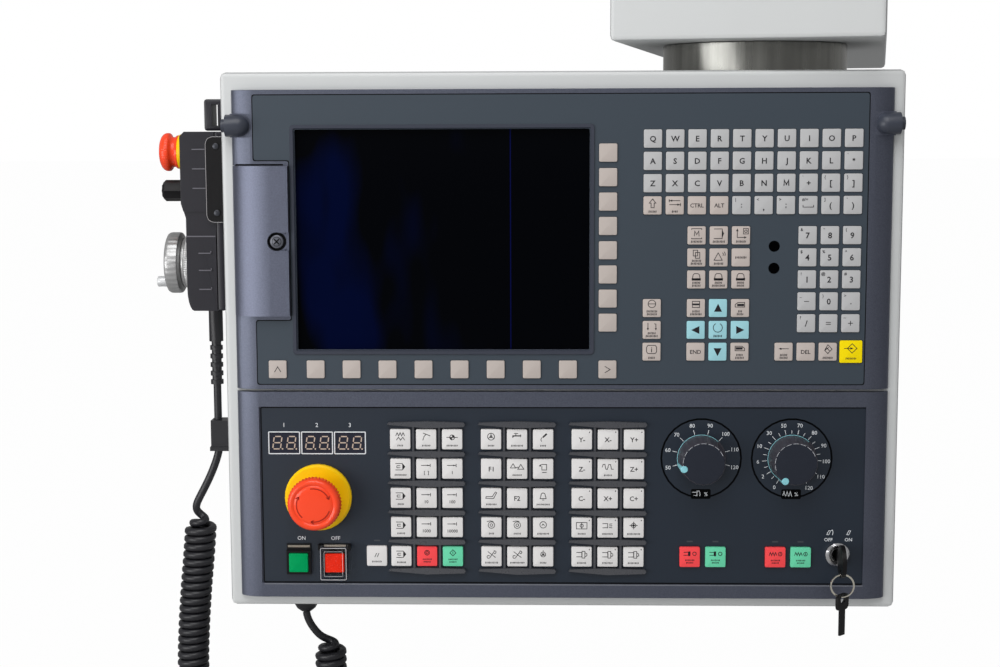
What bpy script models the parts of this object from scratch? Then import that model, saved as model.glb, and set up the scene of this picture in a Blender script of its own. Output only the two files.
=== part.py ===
"""Operator console of a turning lathe, hung from a swivel arm, with a hand-wheel pendant on a curly cord.

Metres, +Z up, the console faces -Y. The frame's origin is on the arm's rear rim, in the middle of
its lower strip.
The console's own pieces are placed from its datum: x from the centreline, y from the front plane
of the panels (+ into the box) and z from the upper panel's top edge.
"""

import math

import bmesh
import bpy
from mathutils import Matrix, Vector

# Clearances
GAP = 0.0003
RUNNING_GAP = 0.0004
OVERRUN = 0.004
MERGE_DISTANCE = 0.00001

# Console box, in sheet steel
BOX_SIDE_MARGIN = 0.0085
BOX_DEPTH = 0.160
BOX_WALL = 0.0025
BOX_FILLET = 0.004
BOX_TOP_MARGIN = 0.0130
BOX_BOTTOM_MARGIN = 0.0090
BOX_REAR_FLANGE = 0.016
COVER_THICKNESS = 0.0020
COVER_LAP = 0.008
COVER_SCREW_RADIUS = 0.0040
COVER_SCREW_HEIGHT = 0.0018
COVER_SCREW_INSET = 0.010

# Arm and swivel
ARM_WIDTH = 0.198
ARM_HEIGHT = 0.100
ARM_FRONT_LENGTH = 0.088
ARM_REAR_LENGTH = 0.532
ARM_FILLET = 0.004
ARM_WALL = 0.0030
ARM_RIM = 0.0200
ARM_YAW = math.radians(11)
SWIVEL_X = 0.1493
SWIVEL_Y = 0.0870
DISC_RADIUS = 0.0700
DISC_HEIGHT = 0.0209
DISC_CHAMFER = 0.0006
SPINDLE_RADIUS = 0.0300
BEARING_RADIUS = 0.0457
BEARING_HEIGHT = 0.0110
BEARING_LIP = 0.0060
NUT_RADIUS = 0.0400
NUT_HEIGHT = 0.0080

# Panels: two moulded fronts, each with rounded rails down its sides
PANEL_PROUD = 0.0080
PANEL_FLOOR = 0.0040
RAIL_WIDTH = 0.0180
PANEL_EDGE_FILLET = 0.0015
PANEL_RIM = 0.0060
PANEL_SPACING = 0.0020
INSET_DEPTH = 0.0015
INSET_TOP = 0.0112
INSET_BOTTOM = 0.0106
LOWER_FLOOR = 0.0030

# Screen
SCREEN_WIDTH = 0.2154
SCREEN_HEIGHT = 0.1618
SCREEN_LEFT_MARGIN = 0.0470
SCREEN_TOP = 0.0288
BEZEL_SLOPE = 0.0031
BEZEL_DEPTH = 0.0032
GLASS_LAP = 0.0020
GLASS_THICKNESS = 0.0011
UNIT_DEPTH = 0.0400
UNIT_MARGIN = 0.0040

# Keys of the upper panel
KEY_SIZE = 0.0132
KEY_PITCH = 0.0161
KEY_PROUD = 0.0013
KEY_FILLET = 0.0004
MAT_THICKNESS = 0.0015
MAT_MARGIN = 0.0020
KEYS_FROM_SOFTKEYS = 0.0323
KEYS_RIGHT_MARGIN = 0.0301
KEYS_BOTTOM_MARGIN = 0.0282
LETTERS_TOP = 0.0362
NUMBERS_SPACING = 0.0219
CURSOR_SPACING = 0.0210
LETTER_COLUMNS = 10
LETTER_ROWS = 4
NUMBER_COLUMNS = (7, 8, 9)
NUMBER_ROWS = 5
MENU_COLUMNS = (2, 3, 4)
MENU_ROWS = 3
ALARM_COLUMN = 0
EDIT_COLUMNS = (6, 7, 8)
BOTTOM_ROW = 2
INPUT_SIZE = 0.0165
INPUT_PAST_KEYS = 0.0008
LAMP_RADIUS = 0.0041
LAMPS_FROM_KEYS = 0.0887
LAMPS_UNDER_NUMBERS = 0.0080

# Softkeys beside and under the screen
SIDE_SOFTKEYS = 8
SIDE_SOFTKEYS_FROM_SCREEN = 0.0133
SIDE_SOFTKEYS_TOP_INSET = 0.0174
SIDE_SOFTKEYS_LOW_INSET = 0.0203
LOW_SOFTKEYS = 8
LOW_SOFTKEYS_UNDER_SCREEN = 0.0144
LOW_SOFTKEYS_LEFT_INSET = 0.0131
LOW_SOFTKEYS_RIGHT_INSET = 0.01575
RECALL_KEY_FROM_SCREEN = 0.0151
SOFTKEYS_BOTTOM_MARGIN = 0.0150

# Short-stroke keys with a joint: a cap, and a flange that keeps it behind the panel
FLANGE_LAP = 0.0011
FLANGE_THICKNESS = 0.0008

# Port flap, with its barrel, boss and captive screw
FLAP_WIDTH = 0.0423
FLAP_HEIGHT = 0.1106
FLAP_TOP = 0.0548
FLAP_BULGE = 0.0060
FLAP_CURVE = 0.0172
FLAP_WALL = 0.0020
FLAP_EDGE_INSET = 0.0003
BARREL_RADIUS = 0.0017
FLAP_PIN_RADIUS = 0.0008
FLAP_PIN_LENGTH = 0.0030
NOTCH_WIDTH = 0.0046
FLAP_BOSS_RADIUS = 0.0085
SCREW_RECESS_RADIUS = 0.0069
SCREW_RECESS_DEPTH = 0.0030
SCREW_HEAD_RADIUS = 0.0050
SCREW_HEAD_HEIGHT = 0.0023
SCREW_SHANK_RADIUS = 0.0019
SCREW_FROM_EDGE = 0.0087
SCREW_NOTCH_WIDTH = 0.0130
SCREW_SLOT_WIDTH = 0.0011
SCREW_SLOT_SHARE = 0.62
SCREW_CROWN_SHARE = 0.9
PORT_WIDTH = 0.0190
PORT_HEIGHT = 0.0960
PORT_DEPTH = 0.0197
SOCKET_DEPTH = 0.0110
# Each service socket: its height above the block's middle, its width and its length
SOCKET_SHARES = ((0.74, 0.28, 0.13), (0.36, 0.28, 0.13), (-0.08, 0.66, 0.26), (-0.62, 0.22, 0.42))

# Rubber cover pegs, one on each rail
PEG_RADIUS = 0.0080
PEG_LENGTH = 0.0172
PEG_STUB_RADIUS = 0.0048
PEG_STUB_LENGTH = 0.0030
PEG_Z = 0.0258
PEG_OUT = 0.0028
PEG_LIFT = 0.0010

# Machine keys in three blocks, each under its guard grid. Shares are of the panel's width, from its middle
BLOCK_SHARES = (-0.2070, -0.0673, 0.0720)
BLOCK_COLUMNS = 3
BLOCK_ROWS = 5
MACHINE_KEY_SIZE = 0.0151
MACHINE_COLUMN_PITCH = 0.0193
MACHINE_ROW_PITCH = 0.0222
MACHINE_KEYS_DOWN = 0.0354
MACHINE_KEYS_BOTTOM_MARGIN = 0.0318
MACHINE_KEY_PROUD = 0.0026
GUARD_WIDTH = 0.0578
GUARD_BAR = 0.0050
GUARD_PROUD = 0.0036
GUARD_POST = 0.0016
GUARD_POST_SHARE = 0.72
GUARD_END_SHARE = 0.42
GUARD_EDGE = 0.0009
RESET_FROM_BLOCK = 0.0377
COLOURED_KEY_SHARES = (0.1988, 0.2383, 0.3302, 0.3692)
BOARD_THICKNESS = 0.0016
BOARD_RIGHT_LAP = 0.0117
BOARD_LEFT_LAP = 0.0043

# Digit windows
DIGIT_WIDTH = 0.0231
DIGIT_HEIGHT = 0.0165
DIGIT_PITCH = 0.0246
DIGIT_WINDOWS = 3
DIGITS_SHARE = -0.3760
DIGITS_DOWN = 0.0386
DIGIT_DEPTH = 0.0090
DIGIT_SET_BACK = 0.0003

# Emergency stop
STOP_SHARE = -0.3747
STOP_DOWN = 0.0795
COLLAR_RADIUS = 0.0250
COLLAR_THICKNESS = 0.0047
COLLAR_CHAMFER = 0.0016
STOP_BARREL_RADIUS = 0.0110
STOP_BARREL_BORE = 0.0086
STOP_BARREL_LENGTH = 0.0180
STOP_TRAVEL = 0.0045
MUSHROOM_RADIUS = 0.0200
MUSHROOM_NECK = 0.0125
MUSHROOM_RIM = 0.0060
MUSHROOM_FLARE = 0.0058
MUSHROOM_DOME = 0.0035
MUSHROOM_BORE = 0.0063
MUSHROOM_BORE_DEPTH = 0.0100
CONTACT_SIZE = 0.0340
CONTACT_DEPTH = 0.0340
CONTACT_BORE_DEPTH = 0.0090

# Power buttons, and the flip guard over the second
POWER_DOWN = 0.1292
POWER_ON_SHARE = -0.4068
POWER_OFF_SHARE = -0.3505
POWER_BEZEL_SIZE = 0.0182
POWER_BEZEL_PROUD = 0.0030
POWER_BODY_SIZE = 0.0160
POWER_BODY_DEPTH = 0.0330
POWER_CAP_SIZE = 0.0142
POWER_CAP_PROUD = 0.0018
POWER_CAP_DEPTH = 0.0100
POWER_TRAVEL = 0.0012
POWER_EAR_WIDTH = 0.0020
POWER_EAR_RISE = 0.0050
POWER_EAR_PROUD = 0.0062
GUARD_COVER_WIDTH = 0.0196
GUARD_COVER_HEIGHT = 0.0250
GUARD_COVER_DEPTH = 0.0088
GUARD_COVER_WALL = 0.0012
GUARD_COVER_LIFT = 0.0004
HINGE_PIN_RADIUS = 0.0007
HINGE_PIN_LENGTH = 0.0014

# Override knobs
KNOB_DOWN = 0.0497
SPINDLE_KNOB_SHARE = 0.2151
FEED_KNOB_SHARE = 0.3534
KNOB_BASE_RADIUS = 0.0181
KNOB_BASE_THICKNESS = 0.0010
KNOB_SKIRT_RADIUS = 0.0174
KNOB_FACE_RADIUS = 0.0160
KNOB_HEIGHT = 0.0225
KNOB_FLUTES = 18
KNOB_FLUTE_DEPTH = 0.0006
KNOB_EDGE = 0.0010
KNOB_SHAFT_RADIUS = 0.0030
KNOB_SHAFT_LENGTH = 0.0120

# Key lock, its key, ring and spare key
LOCK_SHARE = 0.4255
LOCK_DOWN = 0.1220
LOCK_FLANGE_RADIUS = 0.0090
LOCK_FLANGE_HEIGHT = 0.0042
LOCK_CHAMFER = 0.0014
LOCK_BARREL_RADIUS = 0.0078
LOCK_BARREL_LENGTH = 0.0300
LOCK_PLUG_RADIUS = 0.0056
LOCK_PLUG_RECESS = 0.0008
KEYWAY_LENGTH = 0.0090
KEYWAY_DEPTH = 0.0240
KEY_BLADE_THICKNESS = 0.0020
KEY_BLADE_WIDTH = 0.0080
KEY_BLADE_LENGTH = 0.0220
KEY_BOW_RADIUS = 0.0120
KEY_BOW_THICKNESS = 0.0030
KEY_BOW_STANDOFF = 0.0188
KEY_HOLE_RADIUS = 0.0026
KEY_HOLE_DOWN = 0.0075
KEY_HOLE_OUT = 0.0210
RING_RADIUS = 0.0084
RING_WIRE_RADIUS = 0.0007
RING_SAG = 0.0015
SPARE_YAW = math.radians(45)
SPARE_HEAD_WIDTH = 0.0135
SPARE_HEAD_HEIGHT = 0.0120
SPARE_THICKNESS = 0.0022
SPARE_BLADE_WIDTH = 0.0062
SPARE_BLADE_LENGTH = 0.0190
SPARE_HOLE_RADIUS = 0.0032
SPARE_HOLE_DOWN = 0.0040
SPARE_BLADE_SHARE = 0.7

# Pendant: it hangs on the console's left wall and faces -X
PENDANT_Y = 0.0640
PENDANT_WIDTH = 0.0760
PENDANT_TOP = 0.0300
PENDANT_BOTTOM = 0.1643
PENDANT_UPPER_FACE = 0.0345
PENDANT_LOWER_FACE = 0.0312
PENDANT_STEP_TOP = 0.0835
PENDANT_STEP_LOW = 0.0945
PENDANT_FILLET = 0.0035
PENDANT_TOE = 0.0050
PENDANT_TOE_RISE = 0.0165
PENDANT_SEAM = 0.0086
PENDANT_BACK_FILLET = 0.0015
WAIST_TOP = 0.0895
WAIST_LOW = 0.1077
WAIST_DEPTH = 0.0012
RIB_WIDTH = 0.0095
RIB_THICKNESS = 0.0009
RIB_PROUD = 0.0007
RIB_DROPS = (0.0430, 0.0575, 0.0720, 0.1206, 0.1335, 0.1478)
RIB_FROM_SEAM = 0.0035
HANGER_WIDTH = 0.0200
HANGER_RISE = 0.0245
HANGER_REACH = 0.0130
HANGER_SLOT = 0.0046
HANGER_SLOT_HEIGHT = 0.0160
HANGER_BAR = 0.0040
HOLDER_SHEET = 0.0020
HOLDER_TOP = 0.0336
HOLDER_BOTTOM = 0.0976
HOLDER_CHEEK = 0.0148
HOLDER_CORNER = 0.0050
HOLDER_SCREW_RADIUS = 0.0024
HOLDER_SCREW_HEIGHT = 0.0010
HOLDER_SCREW_FROM_WALL = 0.0068
HOLDER_SCREW_FROM_END = 0.0072

PENDANT_STOP_Z = 0.0455
PENDANT_COLLAR_RADIUS = 0.0134
PENDANT_COLLAR_HEIGHT = 0.0108
PENDANT_COLLAR_BORE = 0.0074
PENDANT_STOP_RADIUS = 0.0146
PENDANT_STOP_NECK = 0.0115
PENDANT_STOP_STEM = 0.0070
PENDANT_STOP_HEIGHT = 0.0120
PENDANT_STOP_RIM = 0.0040
PENDANT_STOP_CROWN = 0.0022
PENDANT_STOP_TRAVEL = 0.0030
PENDANT_KNOB_Z = 0.0750
PENDANT_KNOB_RADIUS = 0.0082
PENDANT_KNOB_HEIGHT = 0.0215
PENDANT_KNOB_FLUTES = 8
PENDANT_KNOB_FLUTE_DEPTH = 0.0010
PENDANT_KNOB_TAPER = 0.0022
PENDANT_SHAFT_RADIUS = 0.0030
PENDANT_SHAFT_LENGTH = 0.0080

WHEEL_Z = 0.1306
WHEEL_FLANGE_RADIUS = 0.0206
WHEEL_FLANGE_HEIGHT = 0.0090
WHEEL_RADIUS = 0.0235
WHEEL_HEIGHT = 0.0160
WHEEL_FLUTES = 24
WHEEL_FLUTE_DEPTH = 0.0005
WHEEL_EDGE = 0.0024
WHEEL_DISH = 0.0010
WHEEL_DISH_RADIUS = 0.0190
CRANK_OFFSET = 0.0146
CRANK_RADIUS = 0.0041
CRANK_LENGTH = 0.0075
CRANK_PIN_RADIUS = 0.0016
CRANK_PIN_LENGTH = 0.0040
CRANK_CROWN_SHARE = 0.8

# Cord and what holds it
CORD_DIAMETER = 0.0061
COIL_DIAMETER = 0.0254
CORD_FROM_WALL = 0.0177
GLAND_RADIUS = 0.0055
GLAND_LENGTH = 0.0272
GLAND_THREAD = 0.0042
GLAND_THREAD_LENGTH = 0.0060
RELIEF_RADIUS = 0.0050
RELIEF_NECK = 0.0038
RELIEF_RIBS = 5
RELIEF_LENGTH = 0.0336
CLIP_TOP = 0.2534
CLIP_HEIGHT = 0.0239
CLIP_DEPTH = 0.0160
CLIP_WALL = 0.0010
CLIP_LIP = 0.0032
CLIP_LIP_OUT = 0.0008
OUTLET_FROM_WALL = 0.0490
OUTLET_NUT_RADIUS = 0.0115
OUTLET_NUT_HEIGHT = 0.0095
OUTLET_DOME_RADIUS = 0.0100
OUTLET_DOME_HEIGHT = 0.0112
OUTLET_THREAD_RADIUS = 0.0080
OUTLET_THREAD_LENGTH = 0.0060

# The cord's route, x and z in the console's frame, all of it in the plane of the pendant's middle
LEAD_ROUTE = (
    (-0.2677, -0.2256),
    (-0.2677, -0.2380),
    (-0.2677, -0.2530),
    (-0.2677, -0.2670),
    (-0.2680, -0.2795),
    (-0.2726, -0.2935),
    (-0.2789, -0.3070),
    (-0.2850, -0.3178),
    (-0.2886, -0.3242),
    (-0.2893, -0.3297),
)
COIL_ROUTE = (
    (-0.2828, -0.3308),
    (-0.2853, -0.3600),
    (-0.2884, -0.3910),
    (-0.2910, -0.4240),
    (-0.2921, -0.4550),
    (-0.2902, -0.4870),
    (-0.2770, -0.5190),
    (-0.2370, -0.5400),
    (-0.1985, -0.5200),
    (-0.1843, -0.4890),
    (-0.1822, -0.4600),
    (-0.1822, -0.4314),
)
TAIL_ROUTE = (
    (-0.2010, -0.4082),
    (-0.2002, -0.4126),
    (-0.1977, -0.4185),
    (-0.1938, -0.4238),
    (-0.1908, -0.4266),
    (-0.1899, -0.4304),
)

# Facets
ROUND = 32
ROUND_PROFILE_SHARE = 0.5
SMALL_ROUND = 16
ARC_STEPS = 7
DOME_STEPS = 4

# Worked-out places. The panels come out 483 mm wide, as 19-inch panels are
LETTERS_SPAN = (LETTER_COLUMNS - 1) * KEY_PITCH
KEYS_FROM_SCREEN = SIDE_SOFTKEYS_FROM_SCREEN + KEYS_FROM_SOFTKEYS
PANEL_WIDTH = SCREEN_LEFT_MARGIN + SCREEN_WIDTH + KEYS_FROM_SCREEN + LETTERS_SPAN + KEYS_RIGHT_MARGIN
NUMBERS_TOP = LETTERS_TOP + (LETTER_ROWS - 1) * KEY_PITCH + NUMBERS_SPACING
CURSOR_TOP = NUMBERS_TOP + (MENU_ROWS - 1) * KEY_PITCH + CURSOR_SPACING
LAMP_TOP = NUMBERS_TOP + LAMPS_UNDER_NUMBERS
LOW_SOFTKEY_Z = SCREEN_TOP + SCREEN_HEIGHT + LOW_SOFTKEYS_UNDER_SCREEN
KEYS_LOW_EDGE = CURSOR_TOP + BOTTOM_ROW * KEY_PITCH + KEYS_BOTTOM_MARGIN
UPPER_HEIGHT = max(LOW_SOFTKEY_Z + SOFTKEYS_BOTTOM_MARGIN, KEYS_LOW_EDGE)
LOWER_HEIGHT = MACHINE_KEYS_DOWN + (BLOCK_ROWS - 1) * MACHINE_ROW_PITCH + MACHINE_KEYS_BOTTOM_MARGIN
BOX_WIDTH = PANEL_WIDTH + 2 * BOX_SIDE_MARGIN
BOX_FRONT = PANEL_PROUD
BOX_REAR = BOX_FRONT + BOX_DEPTH
LOWER_TOP = UPPER_HEIGHT + PANEL_SPACING
LOWER_BOTTOM = LOWER_TOP + LOWER_HEIGHT
BOX_BOTTOM = LOWER_BOTTOM + BOX_BOTTOM_MARGIN
ARM_UNDERSIDE = BOX_TOP_MARGIN + GAP + DISC_HEIGHT + GAP
PANEL_BACK = PANEL_PROUD - GAP
POCKET_HALF_WIDTH = PANEL_WIDTH / 2 - RAIL_WIDTH - OVERRUN / 4
INSET_HALF_WIDTH = PANEL_WIDTH / 2 - RAIL_WIDTH + OVERRUN / 4
LOWER_PLATE_BACK = INSET_DEPTH + LOWER_FLOOR
MAT_FRONT = PANEL_FLOOR + GAP
MACHINE_MAT_FRONT = LOWER_PLATE_BACK + GAP
UNIT_FRONT = MAT_FRONT + MAT_THICKNESS + GAP
BOARD_FRONT = MACHINE_MAT_FRONT + MAT_THICKNESS + GAP
FLAP_LEFT = -PANEL_WIDTH / 2 + FLAP_EDGE_INSET
FLAP_RIGHT = -PANEL_WIDTH / 2 + FLAP_WIDTH
BARREL_X = FLAP_LEFT + BARREL_RADIUS + GAP
BARREL_Y = PANEL_BACK - BARREL_RADIUS - GAP
PENDANT_WALL = -BOX_WIDTH / 2
PENDANT_REAR = PENDANT_WALL - GAP - HOLDER_SHEET - GAP
CORD_X = PENDANT_WALL - CORD_FROM_WALL
OUTLET_X = PENDANT_WALL + OUTLET_FROM_WALL
SCREEN_LEFT = -PANEL_WIDTH / 2 + SCREEN_LEFT_MARGIN
SCREEN_X = SCREEN_LEFT + SCREEN_WIDTH / 2
SIDE_SOFTKEY_X = SCREEN_LEFT + SCREEN_WIDTH + SIDE_SOFTKEYS_FROM_SCREEN
SIDE_SOFTKEY_TOP = SCREEN_TOP + SIDE_SOFTKEYS_TOP_INSET
SIDE_SOFTKEYS_SPAN = SCREEN_HEIGHT - SIDE_SOFTKEYS_TOP_INSET - SIDE_SOFTKEYS_LOW_INSET
SIDE_SOFTKEY_PITCH = SIDE_SOFTKEYS_SPAN / (SIDE_SOFTKEYS - 1)
LOW_SOFTKEY_LEFT = SCREEN_LEFT + LOW_SOFTKEYS_LEFT_INSET
LOW_SOFTKEYS_SPAN = SCREEN_WIDTH - LOW_SOFTKEYS_LEFT_INSET - LOW_SOFTKEYS_RIGHT_INSET
LOW_SOFTKEY_PITCH = LOW_SOFTKEYS_SPAN / (LOW_SOFTKEYS - 1)
RECALL_KEY_X = SCREEN_LEFT - RECALL_KEY_FROM_SCREEN
KEYS_LEFT = SIDE_SOFTKEY_X + KEYS_FROM_SOFTKEYS
INPUT_X = KEYS_LEFT + LETTERS_SPAN + INPUT_PAST_KEYS
LAMP_X = KEYS_LEFT + LAMPS_FROM_KEYS
MACHINE_KEYS_TOP = LOWER_TOP + MACHINE_KEYS_DOWN
BLOCKS_X = tuple(PANEL_WIDTH * share for share in BLOCK_SHARES)
RESET_X = BLOCKS_X[0] - RESET_FROM_BLOCK
COLOURED_KEYS_X = tuple(PANEL_WIDTH * share for share in COLOURED_KEY_SHARES)
BOARD_LEFT = RESET_X - BOARD_LEFT_LAP
BOARD_RIGHT = COLOURED_KEYS_X[-1] + BOARD_RIGHT_LAP
DIGIT_X = PANEL_WIDTH * DIGITS_SHARE
DIGIT_Z = LOWER_TOP + DIGITS_DOWN
STOP_X = PANEL_WIDTH * STOP_SHARE
STOP_Z = LOWER_TOP + STOP_DOWN
POWER_ON_X = PANEL_WIDTH * POWER_ON_SHARE
POWER_OFF_X = PANEL_WIDTH * POWER_OFF_SHARE
POWER_Z = LOWER_TOP + POWER_DOWN
SPINDLE_KNOB_X = PANEL_WIDTH * SPINDLE_KNOB_SHARE
FEED_KNOB_X = PANEL_WIDTH * FEED_KNOB_SHARE
KNOB_Z = LOWER_TOP + KNOB_DOWN
LOCK_X = PANEL_WIDTH * LOCK_SHARE
LOCK_Z = LOWER_TOP + LOCK_DOWN
COLLAR_SEAT = INSET_DEPTH - GAP

FACING = (math.pi / 2, 0, 0)
LEFTWARD = (0, -math.pi / 2, 0)
DOWNWARD = (math.pi, 0, 0)
LEVEL = (0, 0, 0)
NO_SHIFT = (0, 0, 0)


def clear_scene():
    for old in list(bpy.data.objects):
        bpy.data.objects.remove(old, do_unlink=True)


clear_scene()
PARTS = bpy.data.collections.new("lathe_operator_console")
CUTTERS = bpy.data.collections.new("cutters")
bpy.context.scene.collection.children.link(PARTS)
bpy.context.scene.collection.children.link(CUTTERS)


def material(name, colour, roughness, metallic=0.0, alpha=1.0):
    made = bpy.data.materials.new(name)
    made.use_nodes = True
    shader = made.node_tree.nodes["Principled BSDF"]
    shader.inputs["Base Color"].default_value = (*colour, 1)
    shader.inputs["Roughness"].default_value = roughness
    shader.inputs["Metallic"].default_value = metallic
    shader.inputs["Alpha"].default_value = alpha
    made.diffuse_color = (*colour, 1)
    return made


PAINT = material("white_paint", (0.67, 0.70, 0.68), 0.45)
STEEL = material("brushed_steel", (0.55, 0.53, 0.51), 0.32, 1.0)
PANEL_PLASTIC = material("slate_plastic", (0.075, 0.082, 0.105), 0.42)
DARK_PLASTIC = material("dark_plastic", (0.020, 0.022, 0.026), 0.5)
GLASS = material("screen_glass", (0.004, 0.004, 0.012), 0.08)
KEY_PLASTIC = material("key_plastic", (0.62, 0.60, 0.57), 0.5)
GUARD_PLASTIC = material("guard_plastic", (0.15, 0.15, 0.18), 0.4)
RED = material("red_plastic", (0.85, 0.07, 0.03), 0.35)
YELLOW = material("yellow_plastic", (0.90, 0.65, 0.01), 0.4)
GREEN = material("green_plastic", (0.01, 0.32, 0.12), 0.35)
SOFT_RED = material("soft_red_plastic", (0.80, 0.06, 0.07), 0.45)
SOFT_GREEN = material("soft_green_plastic", (0.15, 0.60, 0.36), 0.45)
RUBBER = material("black_rubber", (0.030, 0.032, 0.036), 0.6)
CHROME = material("chrome", (0.75, 0.75, 0.76), 0.12, 1.0)
ALUMINIUM = material("aluminium", (0.72, 0.72, 0.70), 0.35, 1.0)
PENDANT_PLASTIC = material("pendant_plastic", (0.060, 0.055, 0.068), 0.5)
CLEAR = material("clear_plastic", (0.85, 0.86, 0.88), 0.08, 0.0, 0.35)
BOARD_GREEN = material("circuit_board", (0.02, 0.16, 0.07), 0.5)


def empty(name, at, parent=None):
    made = bpy.data.objects.new(name, None)
    made.location = at
    made.parent = parent
    PARTS.objects.link(made)
    return made


ARM_AXIS = Vector((math.sin(ARM_YAW), math.cos(ARM_YAW), 0))
ARM_FRAME = empty("arm_frame", NO_SHIFT)
ARM_FRAME.rotation_euler = (0, 0, -ARM_YAW)
SWIVEL = empty("console_swivel", -ARM_AXIS * ARM_REAR_LENGTH - Vector((0, 0, ARM_RIM / 2)))
CONSOLE = empty("console_datum", (-SWIVEL_X, -SWIVEL_Y, -ARM_UNDERSIDE), SWIVEL)


def block(bm, low, high):
    """Adds a box between two corners and returns its vertices."""
    low, high = Vector(low), Vector(high)
    made = bmesh.ops.create_cube(bm, size=1)["verts"]
    middle, size = (low + high) / 2, high - low
    bmesh.ops.transform(bm, matrix=Matrix.Translation(middle) @ Matrix.Diagonal((*size, 1)), verts=made)
    return made


def rod(bm, start, end, radius, sides=ROUND, end_radius=None):
    """Adds a cylinder or cone between two points and returns its vertices."""
    start, end = Vector(start), Vector(end)
    along = end - start
    turn = along.to_track_quat("Z", "Y").to_matrix().to_4x4()
    place = Matrix.Translation((start + end) / 2) @ turn
    far = radius if end_radius is None else end_radius
    return bmesh.ops.create_cone(
        bm, cap_ends=True, segments=sides, radius1=radius, radius2=far, depth=along.length, matrix=place
    )["verts"]


def finish(made, parent, at, turn):
    made.parent = parent
    made.location = at
    made.rotation_euler = turn
    for polygon in made.data.polygons:
        polygon.use_smooth = True
    made.data.set_sharp_from_angle(angle=math.radians(32))
    return made


def from_bmesh(name, bm):
    mesh = bpy.data.meshes.new(name)
    bm.to_mesh(mesh)
    bm.free()
    return bpy.data.objects.new(name, mesh)


def piece(name, made, finish_with, at=NO_SHIFT, turn=LEVEL, parent=CONSOLE):
    """Makes an object a sub-part: its name, material, parent and place."""
    made.name = name
    made.data.materials.clear()
    made.data.materials.append(finish_with)
    PARTS.objects.link(made)
    return finish(made, parent, at, turn)


def tool(made, at=NO_SHIFT, turn=LEVEL, parent=CONSOLE):
    """Makes an object a cutter, or a shape that is joined to another."""
    CUTTERS.objects.link(made)
    made.hide_render = True
    made.display_type = "WIRE"
    return finish(made, parent, at, turn)


def combine(target, other, how):
    step = target.modifiers.new(f"{how.lower()}_{len(target.modifiers)}", "BOOLEAN")
    step.operation = how
    step.object = other
    return target


def cut(target, other):
    return combine(target, other, "DIFFERENCE")


def join(target, other):
    return combine(target, other, "UNION")


def bevel(target, width, segments=2, angle=50):
    step = target.modifiers.new("rounded_edges", "BEVEL")
    step.width = width
    step.segments = segments
    step.limit_method = "ANGLE"
    step.angle_limit = math.radians(angle)
    step.harden_normals = False
    return target


def round_sides(made, width, segments, side, back):
    """Rounds the edges round one flat side of an outline, except the edge that lies at its back."""
    bm = bmesh.new()
    bm.from_mesh(made.data)
    edges = []
    for edge in bm.edges:
        a, b = (vertex.co for vertex in edge.verts)
        if max(abs(a.z - side), abs(b.z - side)) < GAP and (a.x + b.x) / 2 < back - GAP:
            edges.append(edge)
    bmesh.ops.bevel(
        bm, geom=edges, offset=width, segments=segments, profile=ROUND_PROFILE_SHARE,
        affect="EDGES", clamp_overlap=True,
    )
    bmesh.ops.dissolve_degenerate(bm, edges=bm.edges, dist=MERGE_DISTANCE)
    bm.to_mesh(made.data)
    bm.free()
    return made


def boxes(name, corners):
    bm = bmesh.new()
    for low, high in corners:
        block(bm, low, high)
    return from_bmesh(name, bm)


def rods(name, ends, radius, sides=ROUND):
    bm = bmesh.new()
    for start, end in ends:
        rod(bm, start, end, radius, sides)
    return from_bmesh(name, bm)


def turned(name, profile, sides=ROUND):
    """A turned solid about local Z. The profile runs from the top down its outer side, then back."""
    mesh = bpy.data.meshes.new(name)
    links = [(i, i + 1) for i in range(len(profile) - 1)]
    if profile[0][0] > 0:
        links.append((len(profile) - 1, 0))
    mesh.from_pydata([(r, 0, h) for r, h in profile], links, [])
    made = bpy.data.objects.new(name, mesh)
    spin = made.modifiers.new("turning", "SCREW")
    spin.steps = sides
    spin.render_steps = sides
    spin.use_merge_vertices = True
    spin.merge_threshold = MERGE_DISTANCE
    spin.use_smooth_shade = True
    return made


def outline_mesh(name, points, thickness):
    """A flat outline in local XY, as thick as said, from z = 0 up."""
    shape = bpy.data.curves.new(name, "CURVE")
    shape.dimensions = "2D"
    shape.fill_mode = "BOTH"
    shape.extrude = thickness / 2
    line = shape.splines.new("POLY")
    line.points.add(len(points) - 1)
    for spot, (x, y) in zip(line.points, points):
        spot.co = (x, y, 0, 1)
    line.use_cyclic_u = True
    drawn = bpy.data.objects.new(name, shape)
    bpy.context.scene.collection.objects.link(drawn)
    graph = bpy.context.evaluated_depsgraph_get()
    mesh = bpy.data.meshes.new_from_object(drawn.evaluated_get(graph))
    bpy.data.objects.remove(drawn, do_unlink=True)
    bm = bmesh.new()
    bm.from_mesh(mesh)
    bmesh.ops.remove_doubles(bm, verts=bm.verts, dist=MERGE_DISTANCE)
    bmesh.ops.translate(bm, verts=bm.verts, vec=(0, 0, thickness / 2))
    bmesh.ops.recalc_face_normals(bm, faces=bm.faces)
    bm.to_mesh(mesh)
    bm.free()
    return bpy.data.objects.new(name, mesh)


def arc(centre, radii, start, end, steps=ARC_STEPS):
    """Points of an elliptical arc in a plane, angles in degrees."""
    found = []
    for i in range(steps + 1):
        angle = math.radians(start + (end - start) * i / steps)
        found.append((centre[0] + radii[0] * math.cos(angle), centre[1] + radii[1] * math.sin(angle)))
    return found


def rounded_rectangle(low, high, radius, steps=3):
    (left, bottom), (right, top) = low, high
    size = (radius, radius)
    return (
        arc((right - radius, bottom + radius), size, -90, 0, steps)
        + arc((right - radius, top - radius), size, 0, 90, steps)
        + arc((left + radius, top - radius), size, 90, 180, steps)
        + arc((left + radius, bottom + radius), size, 180, 270, steps)
    )


def front(height):
    """The local height, along -Y, of a depth behind the panels' front plane."""
    return -height


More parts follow.
